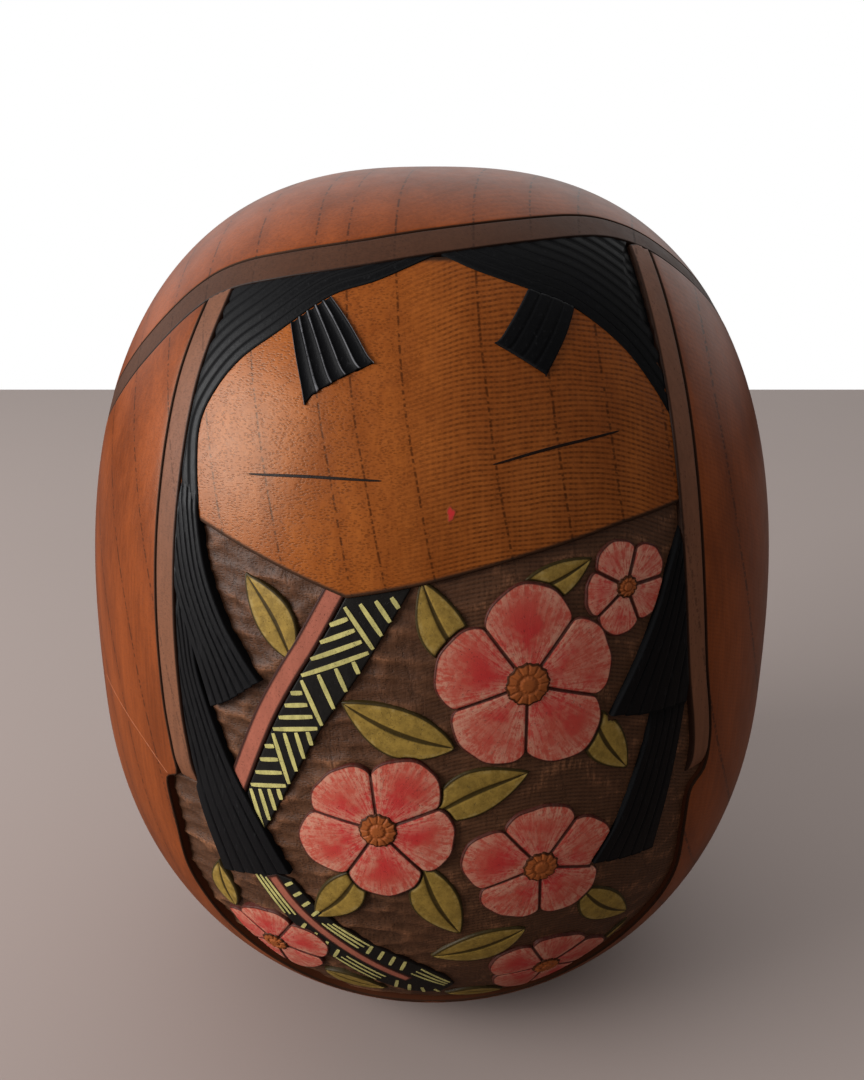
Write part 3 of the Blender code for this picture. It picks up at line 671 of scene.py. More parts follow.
class Bench:
    """What every piece is measured from: the sizes, the colours, the egg, the tie and the opening."""

    def __init__(self, scene):
        self.sizes = scene.doll_sizes
        self.colours = scene.doll_colours
        self.egg = Egg(self.sizes)
        self.tie = Tie(self.egg, self.sizes.tie_width / MM)
        line = rounded(self.egg.drawn(OPENING))
        lowest = np.argmin(line[:, 1])
        self.right = line[lowest:]
        self.left = line[lowest::-1]

    def up_to_tie(self, line, offset):
        """The part of a rising line of the drawing below the tie, ending on the ring moved by an offset."""
        over = line[:, 1] - self.tie.height(self.egg.angle(line), offset)
        last = np.argmax(over > 0)
        if not last:
            raise ValueError("the opening ends below the tie")
        share = over[last - 1] / (over[last - 1] - over[last])
        crossing = line[last - 1] + share * (line[last] - line[last - 1])
        return np.concatenate([line[:last], crossing[None]])

    def sunk(self, places):
        """How far a field that runs under the trims is let down there."""
        left, right = self.inside(places[..., 1], self.sizes.trim_width / MM)
        within = np.minimum(places[..., 0] - left, right - places[..., 0])
        return np.clip(TRIM_OVERLAP - within, 0, UNDER_TRIM)

    def inside(self, z, inset):
        """Left and right border of the opening at a height, drawn in by an inset."""
        left = np.interp(z, self.left[:, 1], self.left[:, 0]) + inset
        right = np.interp(z, self.right[:, 1], self.right[:, 0]) - inset
        return left, right


class Wire:
    """A value in a node tree: Python's operators on it add Math nodes."""

    def __init__(self, finish, socket):
        self.finish = finish
        self.socket = socket

    def math(self, operation, *values):
        """A Math node on this value and others."""
        return self.finish.node("ShaderNodeMath", {"operation": operation}, dict(enumerate(values)))

    def __add__(self, other):
        return self.math("ADD", self, other)

    def __sub__(self, other):
        return self.math("SUBTRACT", self, other)

    def __rsub__(self, other):
        return self.math("SUBTRACT", other, self)

    def __mul__(self, other):
        return self.math("MULTIPLY", self, other)

    def __truediv__(self, other):
        return self.math("DIVIDE", self, other)

    def __pow__(self, other):
        return self.math("POWER", self, other)

    def __lt__(self, other):
        return self.math("LESS_THAN", self, other)

    __radd__ = __add__
    __rmul__ = __mul__

    def most(self, other):
        """The larger of two values."""
        return self.math("MAXIMUM", self, other)

    def wave(self):
        """Sine of the value."""
        return self.math("SINE", self)

    def ramp(self, start, end):
        """Smooth rise from 0 at start to 1 at end, or fall where end is the smaller."""
        sockets = {"Value": self, "From Min": start, "From Max": end}
        return self.finish.node("ShaderNodeMapRange", {"interpolation_type": "SMOOTHSTEP"}, sockets)


class Finish:
    """A material under construction: places are Object coordinates in millimetres."""

    def __init__(self, owner):
        owner.use_nodes = True
        self.owner = owner
        self.tree = owner.node_tree
        self.shader = self.tree.nodes.get("Principled BSDF")

    def node(self, kind, settings, sockets, output=0):
        """Adds a node of a type, with its settings and then the values or links of its sockets."""
        made = self.tree.nodes.new(kind)
        for key, value in settings.items():
            setattr(made, key, value)
        for key, value in sockets.items():
            self.put(made.inputs[key], value)
        return Wire(self, made.outputs[output])

    def put(self, socket, value):
        """Sets a socket, or links it where the value is a wire."""
        if isinstance(value, Wire):
            self.tree.links.new(value.socket, socket)
        elif hasattr(value, "__len__") and len(value) == 3 and socket.type == "RGBA":
            socket.default_value = (*value, 1.0)
        else:
            socket.default_value = value

    def place(self, scale=(1.0, 1.0, 1.0)):
        """Object coordinates in millimetres, times a scale along each axis."""
        coordinates = self.node("ShaderNodeTexCoord", {}, {}, "Object")
        factor = tuple(part / MM for part in scale)
        return self.node("ShaderNodeVectorMath", {"operation": "MULTIPLY"}, {0: coordinates, 1: factor})

    def axes(self):
        """X, Y and Z of the place, in millimetres."""
        split = self.node("ShaderNodeSeparateXYZ", {}, {0: self.place()})
        return [Wire(self, output) for output in split.socket.node.outputs]

    def value(self, name):
        """A value of the piece's own points, such as the distance to its border."""
        return self.node("ShaderNodeAttribute", {"attribute_name": name}, {}, "Fac")

    def noise(self, scale, detail=2.0, roughness=0.5):
        """Cloudy noise from 0 to 1, with a scale along each axis in turns per millimetre."""
        sockets = {"Vector": self.place(scale), "Scale": 1.0, "Detail": detail, "Roughness": roughness}
        return self.node("ShaderNodeTexNoise", {"noise_dimensions": "3D"}, sockets)

    def cells(self, scale):
        """Distance to the nearest of scattered points, with a scale along each axis in points per mm."""
        sockets = {"Vector": self.place(scale), "Scale": 1.0, "Randomness": 1.0}
        return self.node("ShaderNodeTexVoronoi", {"feature": "F1"}, sockets)

    def mix(self, share, first, second):
        """One colour mixed into another."""
        return self.node("ShaderNodeMix", {"data_type": "RGBA"}, {0: share, 6: first, 7: second}, 2)

    def done(self, colour, roughness, height, bump, **constants):
        """Links the shader's colour, roughness and bump, and sets its constants."""
        self.put(self.shader.inputs["Base Color"], colour)
        self.put(self.shader.inputs["Roughness"], roughness)
        sockets = {"Strength": 1.0, "Distance": bump * MM, "Height": height}
        self.put(self.shader.inputs["Normal"], self.node("ShaderNodeBump", {}, sockets))
        for key, value in constants.items():
            self.shader.inputs[key.replace("_", " ")].default_value = value
        return self.owner


class Grain:
    """Wood grain of the one block: values from 0 to 1 that every finish on it shares.

    A ring is a border between cells of a one-dimensional Voronoi along x, which leans with height and depth
    and is broken into dots. Pores are the middles of cells drawn out along the fibre, crowded beside the
    rings. Dashes are the middles of cells drawn out across it. On the right of the face they give way to
    rays, which are fine arched waves across the fibre, crossed by finer ones along it.
    """

    def __init__(self, finish):
        x, y, z = finish.axes()
        sway = finish.noise((0.03, 0.03, 0.02), 2.0) - 0.5
        ring = x + z * RING_LEAN + y * RING_TURN + sway * RING_SWAY
        settings = {"voronoi_dimensions": "1D", "feature": "DISTANCE_TO_EDGE"}
        sockets = {"W": ring / RING_STEP, "Scale": 1.0, "Randomness": 0.8}
        to_ring = finish.node("ShaderNodeTexVoronoi", settings, sockets) * RING_STEP
        dots = finish.noise((1.2, 1.2, 2.9), 1.0, 0.5)
        self.ring = to_ring.ramp(0.18, 0.05) * dots.ramp(0.40, 0.56)
        self.beside = to_ring.ramp(1.7, 0.1)
        self.fibre = finish.noise((2.2, 2.2, 0.10), 4.0, 0.65)
        self.patch = finish.noise((0.16, 0.16, 0.05), 3.0, 0.55)
        pore = finish.cells((3.4, 3.4, 1.6))
        tint = Wire(finish, pore.socket.node.outputs["Color"])
        chance = finish.node("ShaderNodeSeparateColor", {}, {0: tint})
        density = self.beside * 0.5 + self.patch.ramp(0.45, 0.75) * 0.3 + 0.05
        self.pore = pore.ramp(0.36, 0.12) * (chance < density)
        right = x.ramp(-8.0, 5.0)
        broken = finish.noise((0.9, 0.9, 0.7), 2.0).ramp(0.32, 0.58)
        dash = finish.cells((2.3, 2.3, 5.8)).ramp(0.56, 0.22)
        self.dash = dash * (1 - right * 0.7) * (broken * 0.6 + 0.4)
        drift = finish.noise((0.08, 0.08, 0.04), 2.0)
        arch = z + (x - 10.0) ** 2 * 0.015 + drift * 2.0
        crossed = (x * (TAU / 0.55)).wave() * 0.22 + 0.78
        ray = (arch * (TAU / 0.46)).wave().ramp(-0.4, 0.8)
        self.ray = ray * crossed * (broken * 0.45 + 0.55) * right


def shaded(colour, share):
    """A colour times a share."""
    return tuple(part * share for part in colour)


def bare_wood(name, light, dark, ink, gloss, line, ring, pore, dash, ray):
    """Varnished wood: grain between two colours, an inked border line and marks of the given strengths."""
    finish = Finish(bpy.data.materials.new(name))
    grain = Grain(finish)
    tone = grain.fibre.ramp(0.25, 0.75) * 0.4 + grain.patch.ramp(0.25, 0.75) * 0.6
    colour = finish.mix(tone, tuple(dark), tuple(light))
    colour = finish.mix(grain.beside * 0.3, colour, tuple(dark))
    figure = (grain.dash * dash).most(grain.ray * ray)
    colour = finish.mix(figure, colour, shaded(dark, 0.42))
    marks = (grain.ring * ring).most(grain.pore * pore)
    colour = finish.mix(marks, colour, shaded(dark, 0.28))
    border = finish.value("edge").ramp(line, line * 0.4)
    colour = finish.mix(border * 0.92, colour, tuple(ink))
    colour = finish.mix(finish.value("relief").ramp(-0.02, -0.12), colour, shaded(dark, 0.45))
    scuff = finish.noise((0.5, 0.5, 0.5), 4.0, 0.6)
    roughness = scuff * 0.14 + border * 0.4 + 0.27
    height = grain.fibre * 0.3 - marks * 0.15 - figure * 0.7
    return finish.done(colour, roughness, height, 0.025, Specular_IOR_Level=gloss, Specular_Tint=VARNISH)


def stained_wood(name, stain, dark):
    """Wood under a thin flat stain: the rings and pores still show faintly through it."""
    finish = Finish(bpy.data.materials.new(name))
    grain = Grain(finish)
    tone = grain.fibre.ramp(0.2, 0.8) * 0.5 + grain.patch.ramp(0.2, 0.8) * 0.5
    colour = finish.mix(tone, shaded(stain, 0.75), shaded(stain, 1.2))
    marks = (grain.ring * 0.4).most(grain.pore * 0.4).most(grain.dash * 0.2)
    colour = finish.mix(marks, colour, tuple(dark))
    border = finish.value("edge").ramp(0.26, 0.08)
    colour = finish.mix(border * 0.85, colour, shaded(dark, 0.6))
    roughness = finish.noise((0.6, 0.6, 0.6), 4.0) * 0.2 + marks * 0.2 + 0.40
    return finish.done(colour, roughness, 0.0 - marks + grain.fibre * 0.4, 0.02, Specular_IOR_Level=0.2)


def hair_ink(name, black, grey, crest_wear_and_highlight, gloss):
    """Black ink on carved strands, finely scratched, its crests grey with rubbed wear and painted highlight
    by the given strength.
    """
    finish = Finish(bpy.data.materials.new(name))
    scratch = finish.noise((3.0, 3.0, 0.6), 4.0, 0.7)
    worn = scratch.ramp(0.58, 0.80) * finish.value("edge").ramp(0.05, 0.3) * 0.15
    # painted highlight: the crests of the ridges turn grey, partly as rubbed ink and partly as a painted
    # highlight
    rubbed_and_highlight = finish.value("relief").ramp(-0.06, -0.01) * scratch.ramp(0.25, 0.5)
    colour = finish.mix(worn.most(rubbed_and_highlight * crest_wear_and_highlight), tuple(black), tuple(grey))
    roughness = scratch * 0.25 + finish.value("edge").ramp(0.3, 0.1) * 0.4 + 0.30
    return finish.done(colour, roughness, scratch, 0.03, Specular_IOR_Level=gloss)


def paint(name, colour, worn, dark, wear=0.5, outline=0.34):
    """Matt paint on wood: brushed unevenly, flecked over the pores, dark outlined in the groove."""
    finish = Finish(bpy.data.materials.new(name))
    brushed = finish.noise((0.9, 0.9, 0.35), 5.0, 0.7)
    fleck = finish.noise((4.5, 4.5, 4.5), 3.0, 0.8).ramp(0.58, 0.72)
    shade = finish.mix(brushed.ramp(0.3, 0.75) * wear, tuple(colour), tuple(worn))
    shade = finish.mix(fleck * 0.4, shade, tuple(dark))
    border = finish.value("edge").ramp(outline, outline * 0.5)
    shade = finish.mix(border * 0.9, shade, tuple(dark))
    roughness = brushed * 0.2 + 0.42
    return finish.done(shade, roughness, brushed - fleck, 0.03, Specular_IOR_Level=0.2)


def smudge(name, colour, skin):
    """A touch of paint rubbed out into the wood round it."""
    finish = Finish(bpy.data.materials.new(name))
    brushed = finish.noise((3.0, 3.0, 3.0), 3.0, 0.7)
    share = (finish.value("along") + brushed * 0.7).ramp(1.35, 0.75)
    shade = finish.mix(share, tuple(skin), tuple(colour))
    return finish.done(shade, brushed * 0.2 + 0.4, brushed, 0.01, Specular_IOR_Level=0.3)


def gouged_ground(name, brown, dark):
    """Stained ground of the kimono, flecked by the grain, with painted shade in its hollows and towards its
    right, and painted highlight on its ridges.
    """
    finish = Finish(bpy.data.materials.new(name))
    grain = Grain(finish)
    streak = finish.noise((2.6, 2.6, 0.5), 4.0, 0.7)
    # painted shade and highlight: darker in the hollows and paler on the ridges of the gouges
    painted_ridge_light = finish.value("relief").ramp(-0.24, -0.01)
    tone = painted_ridge_light * 0.55 + streak.ramp(0.3, 0.7) * 0.3 + grain.patch.ramp(0.3, 0.7) * 0.15
    colour = finish.mix(tone, tuple(dark), tuple(brown))
    # painted shade: darker towards the right, the side away from the lamp
    colour = finish.mix(finish.axes()[0].ramp(-12.0, 14.0) * 0.55, colour, shaded(dark, 0.8))
    # pale crests of the ridges: partly rubbed wear, partly a painted highlight
    rubbed_and_highlight = finish.value("relief").ramp(-0.05, 0.0) * streak.ramp(0.4, 0.65)
    colour = finish.mix(rubbed_and_highlight * 0.5, colour, shaded(brown, 1.9))
    figure = (grain.dash * 0.5).most(grain.ray * 0.55).most(grain.pore * 0.5).most(grain.ring * 0.4)
    colour = finish.mix(figure, colour, shaded(dark, 0.35))
    roughness = streak * 0.25 + 0.40
    return finish.done(colour, roughness, streak - figure, 0.05, Specular_IOR_Level=0.3)


def petal_paint(name, coral, red, pale, dark):
    """Dry-brushed petals: clear red patches towards the middle, pale streaky rims, flecks of wood."""
    finish = Finish(bpy.data.materials.new(name))
    edge = finish.value("edge")
    along = finish.value("along")
    across = finish.value("across")
    cloud = finish.noise((0.28, 0.28, 0.28), 3.0, 0.6)
    brushed = finish.noise((1.6, 1.6, 1.6), 5.0, 0.75)
    spread = finish.node("ShaderNodeCombineXYZ", {}, {0: across * 22.0, 1: along * 2.6})
    sockets = {"Vector": spread, "Scale": 1.0, "Detail": 4.0, "Roughness": 0.7}
    streak = finish.node("ShaderNodeTexNoise", {"noise_dimensions": "2D"}, sockets)
    glaze = cloud.ramp(0.38, 0.60) * along.ramp(1.0, 0.45)
    colour = finish.mix(glaze * 0.85, tuple(coral), tuple(red))
    dry = edge.ramp(2.6, 0.3) * 0.8 + cloud.ramp(0.55, 0.35) * 0.45
    colour = finish.mix(dry * (streak * 0.42 + brushed * 0.58).ramp(0.41, 0.58), colour, tuple(pale))
    fleck = finish.noise((4.2, 4.2, 4.2), 3.0, 0.8).ramp(0.60, 0.74)
    colour = finish.mix(fleck * 0.45, colour, shaded(coral, 0.25))
    colour = finish.mix(edge.ramp(0.30, 0.15) * 0.92, colour, tuple(dark))
    height = brushed * 0.6 + streak * 0.6 - fleck
    return finish.done(colour, brushed * 0.2 + 0.40, height, 0.05, Specular_IOR_Level=0.25)


def leaf_paint(name, olive, pale, dark):
    """Olive leaves: a dark inked outline and midrib, thin brushed paint and flecks of wood."""
    finish = Finish(bpy.data.materials.new(name))
    edge = finish.value("edge")
    across = finish.value("across")
    middle = (across - 0.5).most(0.5 - across)
    brushed = finish.noise((1.0, 1.0, 1.0), 5.0, 0.75)
    colour = finish.mix(brushed.ramp(0.3, 0.7), shaded(olive, 0.72), shaded(olive, 1.25))
    colour = finish.mix(edge.ramp(0.8, 0.45) * brushed.ramp(0.45, 0.65) * 0.6, colour, tuple(pale))
    colour = finish.mix(middle.ramp(0.07, 0.035) * 0.88, colour, tuple(dark))
    fleck = finish.noise((4.2, 4.2, 4.2), 3.0, 0.8).ramp(0.60, 0.74)
    colour = finish.mix(fleck * 0.5, colour, tuple(dark))
    colour = finish.mix(edge.ramp(0.38, 0.20) * 0.92, colour, tuple(dark))
    return finish.done(colour, brushed * 0.2 + 0.40, brushed - fleck, 0.04, Specular_IOR_Level=0.25)


def bordered(edge, relief=0.0):
    """Values of points for which only the distance to the border and the relief matter."""
    return np.stack(np.broadcast_arrays(edge, 0.0, 0.0, relief), axis=-1)


def tie_places(bench, offsets):
    """Angle and height of the ring moved across itself, for a grid of offsets (ring step, column)."""
    points = bench.tie.middle[:, None] + bench.tie.upwards[:, None] * offsets[..., None]
    return np.stack([np.arctan2(points[..., 0], -points[..., 1]), points[..., 2]], axis=-1)


def make_hood_body(bench):
    """The hood below the tie.

    A row runs from the opening's right edge round the back to its left edge, at even angles. Its height is
    the mean of its two ends, sagging with the tie's dip in proportion to its own height. Below the opening
    the ends meet in a seam at the front.
    """
    egg = bench.egg
    base_edge = bench.sizes.base_edge / MM
    half_tie = bench.tie.width / 2
    right = bench.up_to_tie(bench.right, -half_tie)
    left = bench.up_to_tie(bench.left, -half_tie)
    share = spaced(length_of(right), OPENING_ROWS)
    right = resampled(right, share)
    left = resampled(left, share)
    seam = np.linspace(base_edge, right[0, 1], SEAM_ROWS, endpoint=False)
    start_height = np.concatenate([seam, right[:, 1]])[:, None]
    end_height = np.concatenate([seam, left[:, 1]])[:, None]
    start_angle = np.concatenate([0 * seam, egg.angle(right)])[:, None]
    end_angle = np.concatenate([0 * seam, egg.angle(left)])[:, None] + TAU
    across = spaced(TAU * egg.half, HOOD_COLUMNS)
    angle = start_angle + (end_angle - start_angle) * across
    tie_height = bench.tie.height(angle[-1], -half_tie)
    dip = tie_height - (tie_height[0] + (tie_height[-1] - tie_height[0]) * across)
    rise = (start_height - base_edge) / (start_height[-1] - base_edge)
    height = start_height + (end_height - start_height) * across + rise * dip
    surface = egg.around(angle, height, np.zeros(angle.shape))
    borders = [egg.front(line, np.zeros(len(line))) for line in (bench.right, bench.left)]
    tie_line = bench.tie.line(-half_tie)
    borders.append(egg.around(tie_line[:, 0], tie_line[:, 1], np.zeros(len(tie_line))))
    edge = np.min([nearest(line, surface) for line in borders], axis=0)
    carving = Carving(bench)
    top = egg.lifted(surface, -rolled(edge, carving.roll))
    low = egg.lifted(surface[:, [0, -1]], np.full((len(surface), 2), -PLATE_DEPTH))
    low[: len(seam)] = top[: len(seam), [0, -1]]
    sections = np.concatenate([low[:, :1], top, low[:, 1:]], axis=1)
    edge = np.pad(edge, ((0, 0), (1, 1)), mode="edge")
    wall = np.zeros(edge.shape)
    wall[len(seam) :, [0, -1]] = -1
    foot = egg.base - base_edge
    foot_angle = np.pad(angle[0], 1, mode="edge")
    base = np.stack([foot * np.sin(foot_angle), -foot * np.cos(foot_angle), 0 * foot_angle], axis=-1)
    sections = np.concatenate([base[None], sections])
    edge = np.concatenate([edge[:1], edge])
    wall = np.concatenate([wall[:1], wall])
    carving.loft(sections, bordered(edge, wall))
    return carving


def make_hood_crown(bench):
    """The hood above the tie: from the pole, even steps of the superellipse's angle down to the tie."""
    egg = bench.egg
    angle = bench.tie.angles
    height = bench.tie.height(angle, bench.tie.width / 2)
    share = (height - egg.widest) / (egg.height - egg.widest)
    lowest = np.arcsin(share ** (CROWN_POWER / 2))
    step = np.concatenate([[POLE_SHARE], spaced(CROWN_RUN, CROWN_ROWS)[len(EDGE_STEPS) :]])[:, None]
    turn = math.pi / 2 - step * (math.pi / 2 - lowest)
    z = egg.widest + (egg.height - egg.widest) * np.sin(turn) ** (2 / CROWN_POWER)
    angle = np.broadcast_to(angle, z.shape)
    surface = egg.around(angle, z, np.zeros(z.shape))
    run = np.linalg.norm(np.diff(surface, axis=0), axis=-1)
    edge = np.concatenate([np.cumsum(run[::-1], axis=0)[::-1], np.zeros((1, run.shape[1]))])
    carving = Carving(bench)
    top = egg.lifted(surface, -rolled(edge, carving.roll))
    low = egg.lifted(surface[-1:], np.full((1, len(bench.tie.angles)), -PLATE_DEPTH))
    edge = np.concatenate([edge, edge[-1:]])
    carving.loft(np.concatenate([top, low]), bordered(edge))
    return carving


def make_hood(bench):
    """Crown and body of the hood, in the same bare wood."""
    colours = bench.colours
    wood = bare_wood("hood_wood", colours.hood, colours.hood_dark, colours.ink, **HOOD_FINISH)
    make_hood_crown(bench).finish("hood_crown", wood, ["turned_body"], "hood_wood")
    make_hood_body(bench).finish("hood_body", wood, ["turned_body"], "hood_wood")
    add_hem(bench)


def add_hem(bench):
    """The pale scratch along the hem, on the left."""
    colours = bench.colours
    scratch = shaded(colours.petal_edge, 0.65)
    pale = paint("hem_scratch", scratch, colours.face, colours.hood, wear=1.0, outline=0.04)
    line = resampled(rounded(bench.egg.drawn(HEM_LEFT)), np.linspace(0, 1, HEM_STEPS))
    hem = Carving(bench, HEM_ROLL)
    hem.plate(Field(*ribbon(line, HEM_WIDTH), HEM_STEPS, LINE_COLUMNS), HEM_LEVEL)
    hem.finish("hem_line", pale, ["turned_body"], "hood_wood")


def make_tie(bench):
    """The tie round the head: its section carried along the tilted ring."""
    egg = bench.egg
    width = bench.tie.width - 2 * TIE_GAP
    across = spaced(width, TIE_COLUMNS)
    offsets = np.broadcast_to((across - 0.5) * width, (bench.tie.STEPS, len(across)))
    edge = np.broadcast_to(np.minimum(across, 1 - across) * width, offsets.shape)
    places = tie_places(bench, offsets)
    carving = Carving(bench)
    top = egg.around(places[..., 0], places[..., 1], TIE_LEVEL - rolled(edge, carving.roll))
    ends = places[:, [0, -1]]
    low = egg.around(ends[..., 0], ends[..., 1], np.full(ends.shape[:2], TIE_LEVEL - PLATE_DEPTH))
    carving.strip(top, low, bordered(edge), ring=True)
    colours = bench.colours
    stain = stained_wood("tie_stain", shaded(colours.tie, 0.4), colours.ink)
    carving.finish("carved_brow_band", stain, ["brow_band"], "band_stain")


def make_trims(bench):
    """The flat trims inside the opening, from the hem up to the tie."""
    colours = bench.colours
    stain = stained_wood("trim_stain", colours.tie, colours.ink)
    width = bench.sizes.trim_width / MM
    for name, line, inwards in (("left", bench.left, 1), ("right", bench.right, -1)):
        line = bench.up_to_tie(line, 0.0)
        line = line[line[:, 1] > TRIM_FOOT * bench.egg.scale[1]]
        outer = line + np.array([TRIM_GAP * inwards, 0])
        inner = line + np.array([width * inwards, 0])
        field = Field(outer, inner, *TRIM_GRID)
        height = field.places[..., 1]
        over = height - bench.tie.height(bench.egg.angle(field.places), TIE_OVERLAP - bench.tie.width / 2)
        down = (TRIM_FOOT + TRIM_SLOPE) * bench.egg.scale[1] - height
        carving = Carving(bench)
        fall = TRIM_FALL * np.clip(down / TRIM_SLOPE, 0, 1) ** 2
        carving.plate(field, TRIM_LEVEL, -np.clip(over, 0, UNDER_TIE) - fall)
        carving.finish(f"carved_side_band_{name}", stain, [f"side_band_{name}"], "band_stain")


def make_face(bench):
    """The bare face between the collar and the hair, and under the hair's edges."""
    egg = bench.egg
    colours = bench.colours
    wood = bare_wood("face_wood", colours.face, colours.face_dark, colours.ink, **FACE_FINISH)
    carving = Carving(bench)
    carving.plate(Field(egg.drawn(COLLAR), rounded(egg.drawn(FACE_TOP)), *FACE_GRID), FACE_LEVEL)
    carving.finish("carved_face_panel", wood, ["face_panel"], "face_wood")
    ink = paint("line_ink", colours.ink, shaded(colours.ink, 4), colours.ink, wear=0.6)
    for name, route in EYES.items():
        line = resampled(rounded(egg.drawn(route)), np.linspace(0, 1, LINE_STEPS))
        taper = np.sin(np.linspace(0, math.pi, LINE_STEPS)) ** 0.25
        carving = Carving(bench, EYE_ROLL)
        edges = ribbon(line, bench.sizes.eye_width / MM * taper)
        carving.plate(Field(*edges, LINE_STEPS, LINE_COLUMNS), LINE_LEVEL)
        carving.finish(f"carved_{name}", ink, [name], "line_ink")
    add_mouth(bench)


def add_mouth(bench):
    """The mouth: a small uneven oval, sunk to the face and rubbed out at its rim."""
    angle = np.linspace(0, TAU, MOUTH_STEPS, endpoint=False)
    reach = 1 + 0.16 * np.sin(3 * angle + 1) + 0.1 * np.sin(5 * angle)
    share = np.linspace(0.02, 1, 9)[:, None]
    shape = np.stack([MOUTH_HALF_WIDTH * np.cos(angle), MOUTH_HALF_HEIGHT * np.sin(angle)], axis=-1)
    shape = shape * reach[:, None]
    places = bench.egg.drawn(MOUTH_PLACE) + shape * share[..., None]
    edge = np.broadcast_to((1 - share) * MOUTH_EDGE, places.shape[:2])
    carving = Carving(bench)
    carving.disc(places, edge, share, 0.0, MOUTH_LEVEL - rolled(edge, MOUTH_ROLL), 0.0)
    red = smudge("mouth_red", bench.colours.mouth, shaded(bench.colours.face, 0.56))
    carving.finish("carved_mouth", red, ["mouth"], "mouth_red")


def make_bangs(bench, ink):
    """Bangs: flat strands side by side, parallel to the free edge, each clipped by the tie and the trim."""
    egg = bench.egg
    width = bench.sizes.strand_width / MM
    trim = bench.sizes.trim_width / MM
    for name, drawn in BANGS.items():
        line = resampled(rounded(egg.drawn(drawn)), np.linspace(0, 1, STRAND_LINE))
        towards = 1 if line[-1, 0] > 0 else -1
        carving = Carving(bench, BANG_ROLL)
        for number in range(STRANDS[name]):
            inner = parallel(egg, line, towards * (number * width + STRAND_GAP))
            outer = parallel(egg, line, towards * ((number + 1) * width - STRAND_GAP))
            middle = (inner + outer) / 2
            left, right = bench.inside(middle[:, 1], trim * 0.5)
            below = middle[:, 1] < bench.tie.height(egg.angle(middle))
            kept = below & (middle[:, 0] > left) & (middle[:, 0] < right)
            if kept.sum() < FEWEST_POINTS:
                continue
            first = np.argmax(kept)
            last = len(kept) - np.argmax(kept[::-1])
            field = Field(inner[first:last], outer[first:last], *STRAND_GRID)
            tilt = STRAND_TILT * field.across - STRAND_DROP
            dip = STRAND_END_DIP * np.clip((field.along - 0.95 + 0.04 * number) / 0.06, 0, 1)
            sunk = np.minimum(bench.sunk(field.places), BANG_UNDER_TRIM)
            carving.plate(field, BANG_LEVEL, tilt - dip - sunk)
        carving.finish(f"carved_{name}", ink, [name], "hair_ink")


def under_bang(egg, places):
    """Share from 0 to 1 by which places lie under a bang, across its free edge."""
    name = "bang_left" if places[0, 0, 0] < 0 else "bang_right"
    edge = rounded(egg.drawn(BANGS[name]))
    edge = edge[np.argsort(edge[:, 0])]
    return np.clip((places[..., 1] - np.interp(places[..., 0], edge[:, 0], edge[:, 1])) / 0.3 + 0.5, 0, 1)


def make_tress(bench, name, edges, level, ink, scooped):
    """A forelock or a lock: strands between two long edges, with V-shaped grooves or scoops between them.

    A scoop is a quarter circle down from each ridge. The upper end is tucked in, under the bang for a
    forelock, the sides run in under the trims, and the lower end is ragged strand by strand.
    """
    egg = bench.egg
    count = STRANDS[name]
    first, second = (rounded(egg.drawn(edge)) for edge in edges)
    field = Field(first, second, TRESS_ROWS, count * STRAND_COLUMNS)
    strand = field.across * count
    half = field.width / count / 2
    to_ridge = np.abs(strand - np.round(strand)) * half * 2
    if scooped:
        inwards = np.clip((to_ridge - RIDGE_HALF) / (half - RIDGE_HALF), 0, 1)
        carved = SCOOP_DEPTH * np.sqrt(1 - (1 - inwards) ** 2)
        spike = SPIKE_LENGTH * np.clip(1 - strand / SPIKE_WIDTH, 0, 1)
    else:
        carved = CUT_DEPTH * np.clip(1 - to_ridge / CUT_HALF, 0, 1)
        spike = 0.0
    ragged = np.sin(RAGGED_TURN * np.floor(strand) + len(name)) * RAGGED_LENGTH - spike
    tip = np.clip((field.along - TIP_START) / TIP_LENGTH, 0, 1) ** 2
    field.places = field.places + np.stack([0 * tip, ragged * tip], axis=-1)
    if name in FORELOCKS:
        tucked = FORELOCK_TUCK * under_bang(egg, field.places)
    else:
        tucked = LOCK_TUCK * np.clip(1 - (field.along - 0.1 * (1 - field.across)) / 0.1, 0, 1)
    carving = Carving(bench, TRESS_ROLL)
    carving.plate(field, level, -carved - tucked - bench.sunk(field.places))
    carving.finish(f"carved_{name}", ink, [name], "hair_ink")


def make_hair(bench):
    """Bangs, forelocks and both tiers of side locks."""
    black = bench.colours.hair
    grey = bench.colours.hair_wear_and_highlight
    ink = hair_ink("hair_ink", black, grey, crest_wear_and_highlight=0.0, gloss=0.16)
    # The scooped forelock gets the painted highlight on its ridge crests.
    ridged = hair_ink("ridged_ink", black, grey, crest_wear_and_highlight=1.0, gloss=0.05)
    make_bangs(bench, ink)
    for name, edges in FORELOCKS.items():
        scooped = name == SCOOPED
        make_tress(bench, name, edges, FORELOCK_LEVEL, ridged if scooped else ink, scooped)
    for name, edges in LOCKS.items():
        level = UPPER_LOCK_LEVEL if name.endswith("upper") else LOWER_LOCK_LEVEL
        make_tress(bench, name, edges, level, ink, False)


def gouge_marks(places, length, height):
    """Depth from 0 to 1 of gouge marks.

    The marks' middles lie on a staggered grid, moved at random. A mark is a hollow round its middle that
    ends where the next middle is as near, so that sharp ridges stand between the marks.
    """
    draws = np.random.default_rng(GOUGE_SEED)
    shift = draws.uniform(-GOUGE_SHIFT, GOUGE_SHIFT, (GOUGE_COLUMNS, GOUGE_ROWS, 2))
    u = places[..., 0] / length + 30
    v = (places[..., 1] + GOUGE_WAVE * np.sin(places[..., 0] * GOUGE_WAVE_TURN)) / height + 3
    near = np.full(u.shape, np.inf)
    for row_step in (-1, 0, 1):
        row = np.floor(v).astype(int) + row_step
        stagger = 0.5 * (row % 2)
        for column_step in (-1, 0, 1):
            column = np.floor(u - stagger).astype(int) + column_step
            moved = shift[column % GOUGE_COLUMNS, row % GOUGE_ROWS]
            reach = np.hypot(u - column - 0.5 - stagger - moved[..., 0], v - row - 0.5 - moved[..., 1])
            near = np.minimum(near, reach)
    return np.clip(1 - (near / GOUGE_REACH) ** 2, 0, 1)


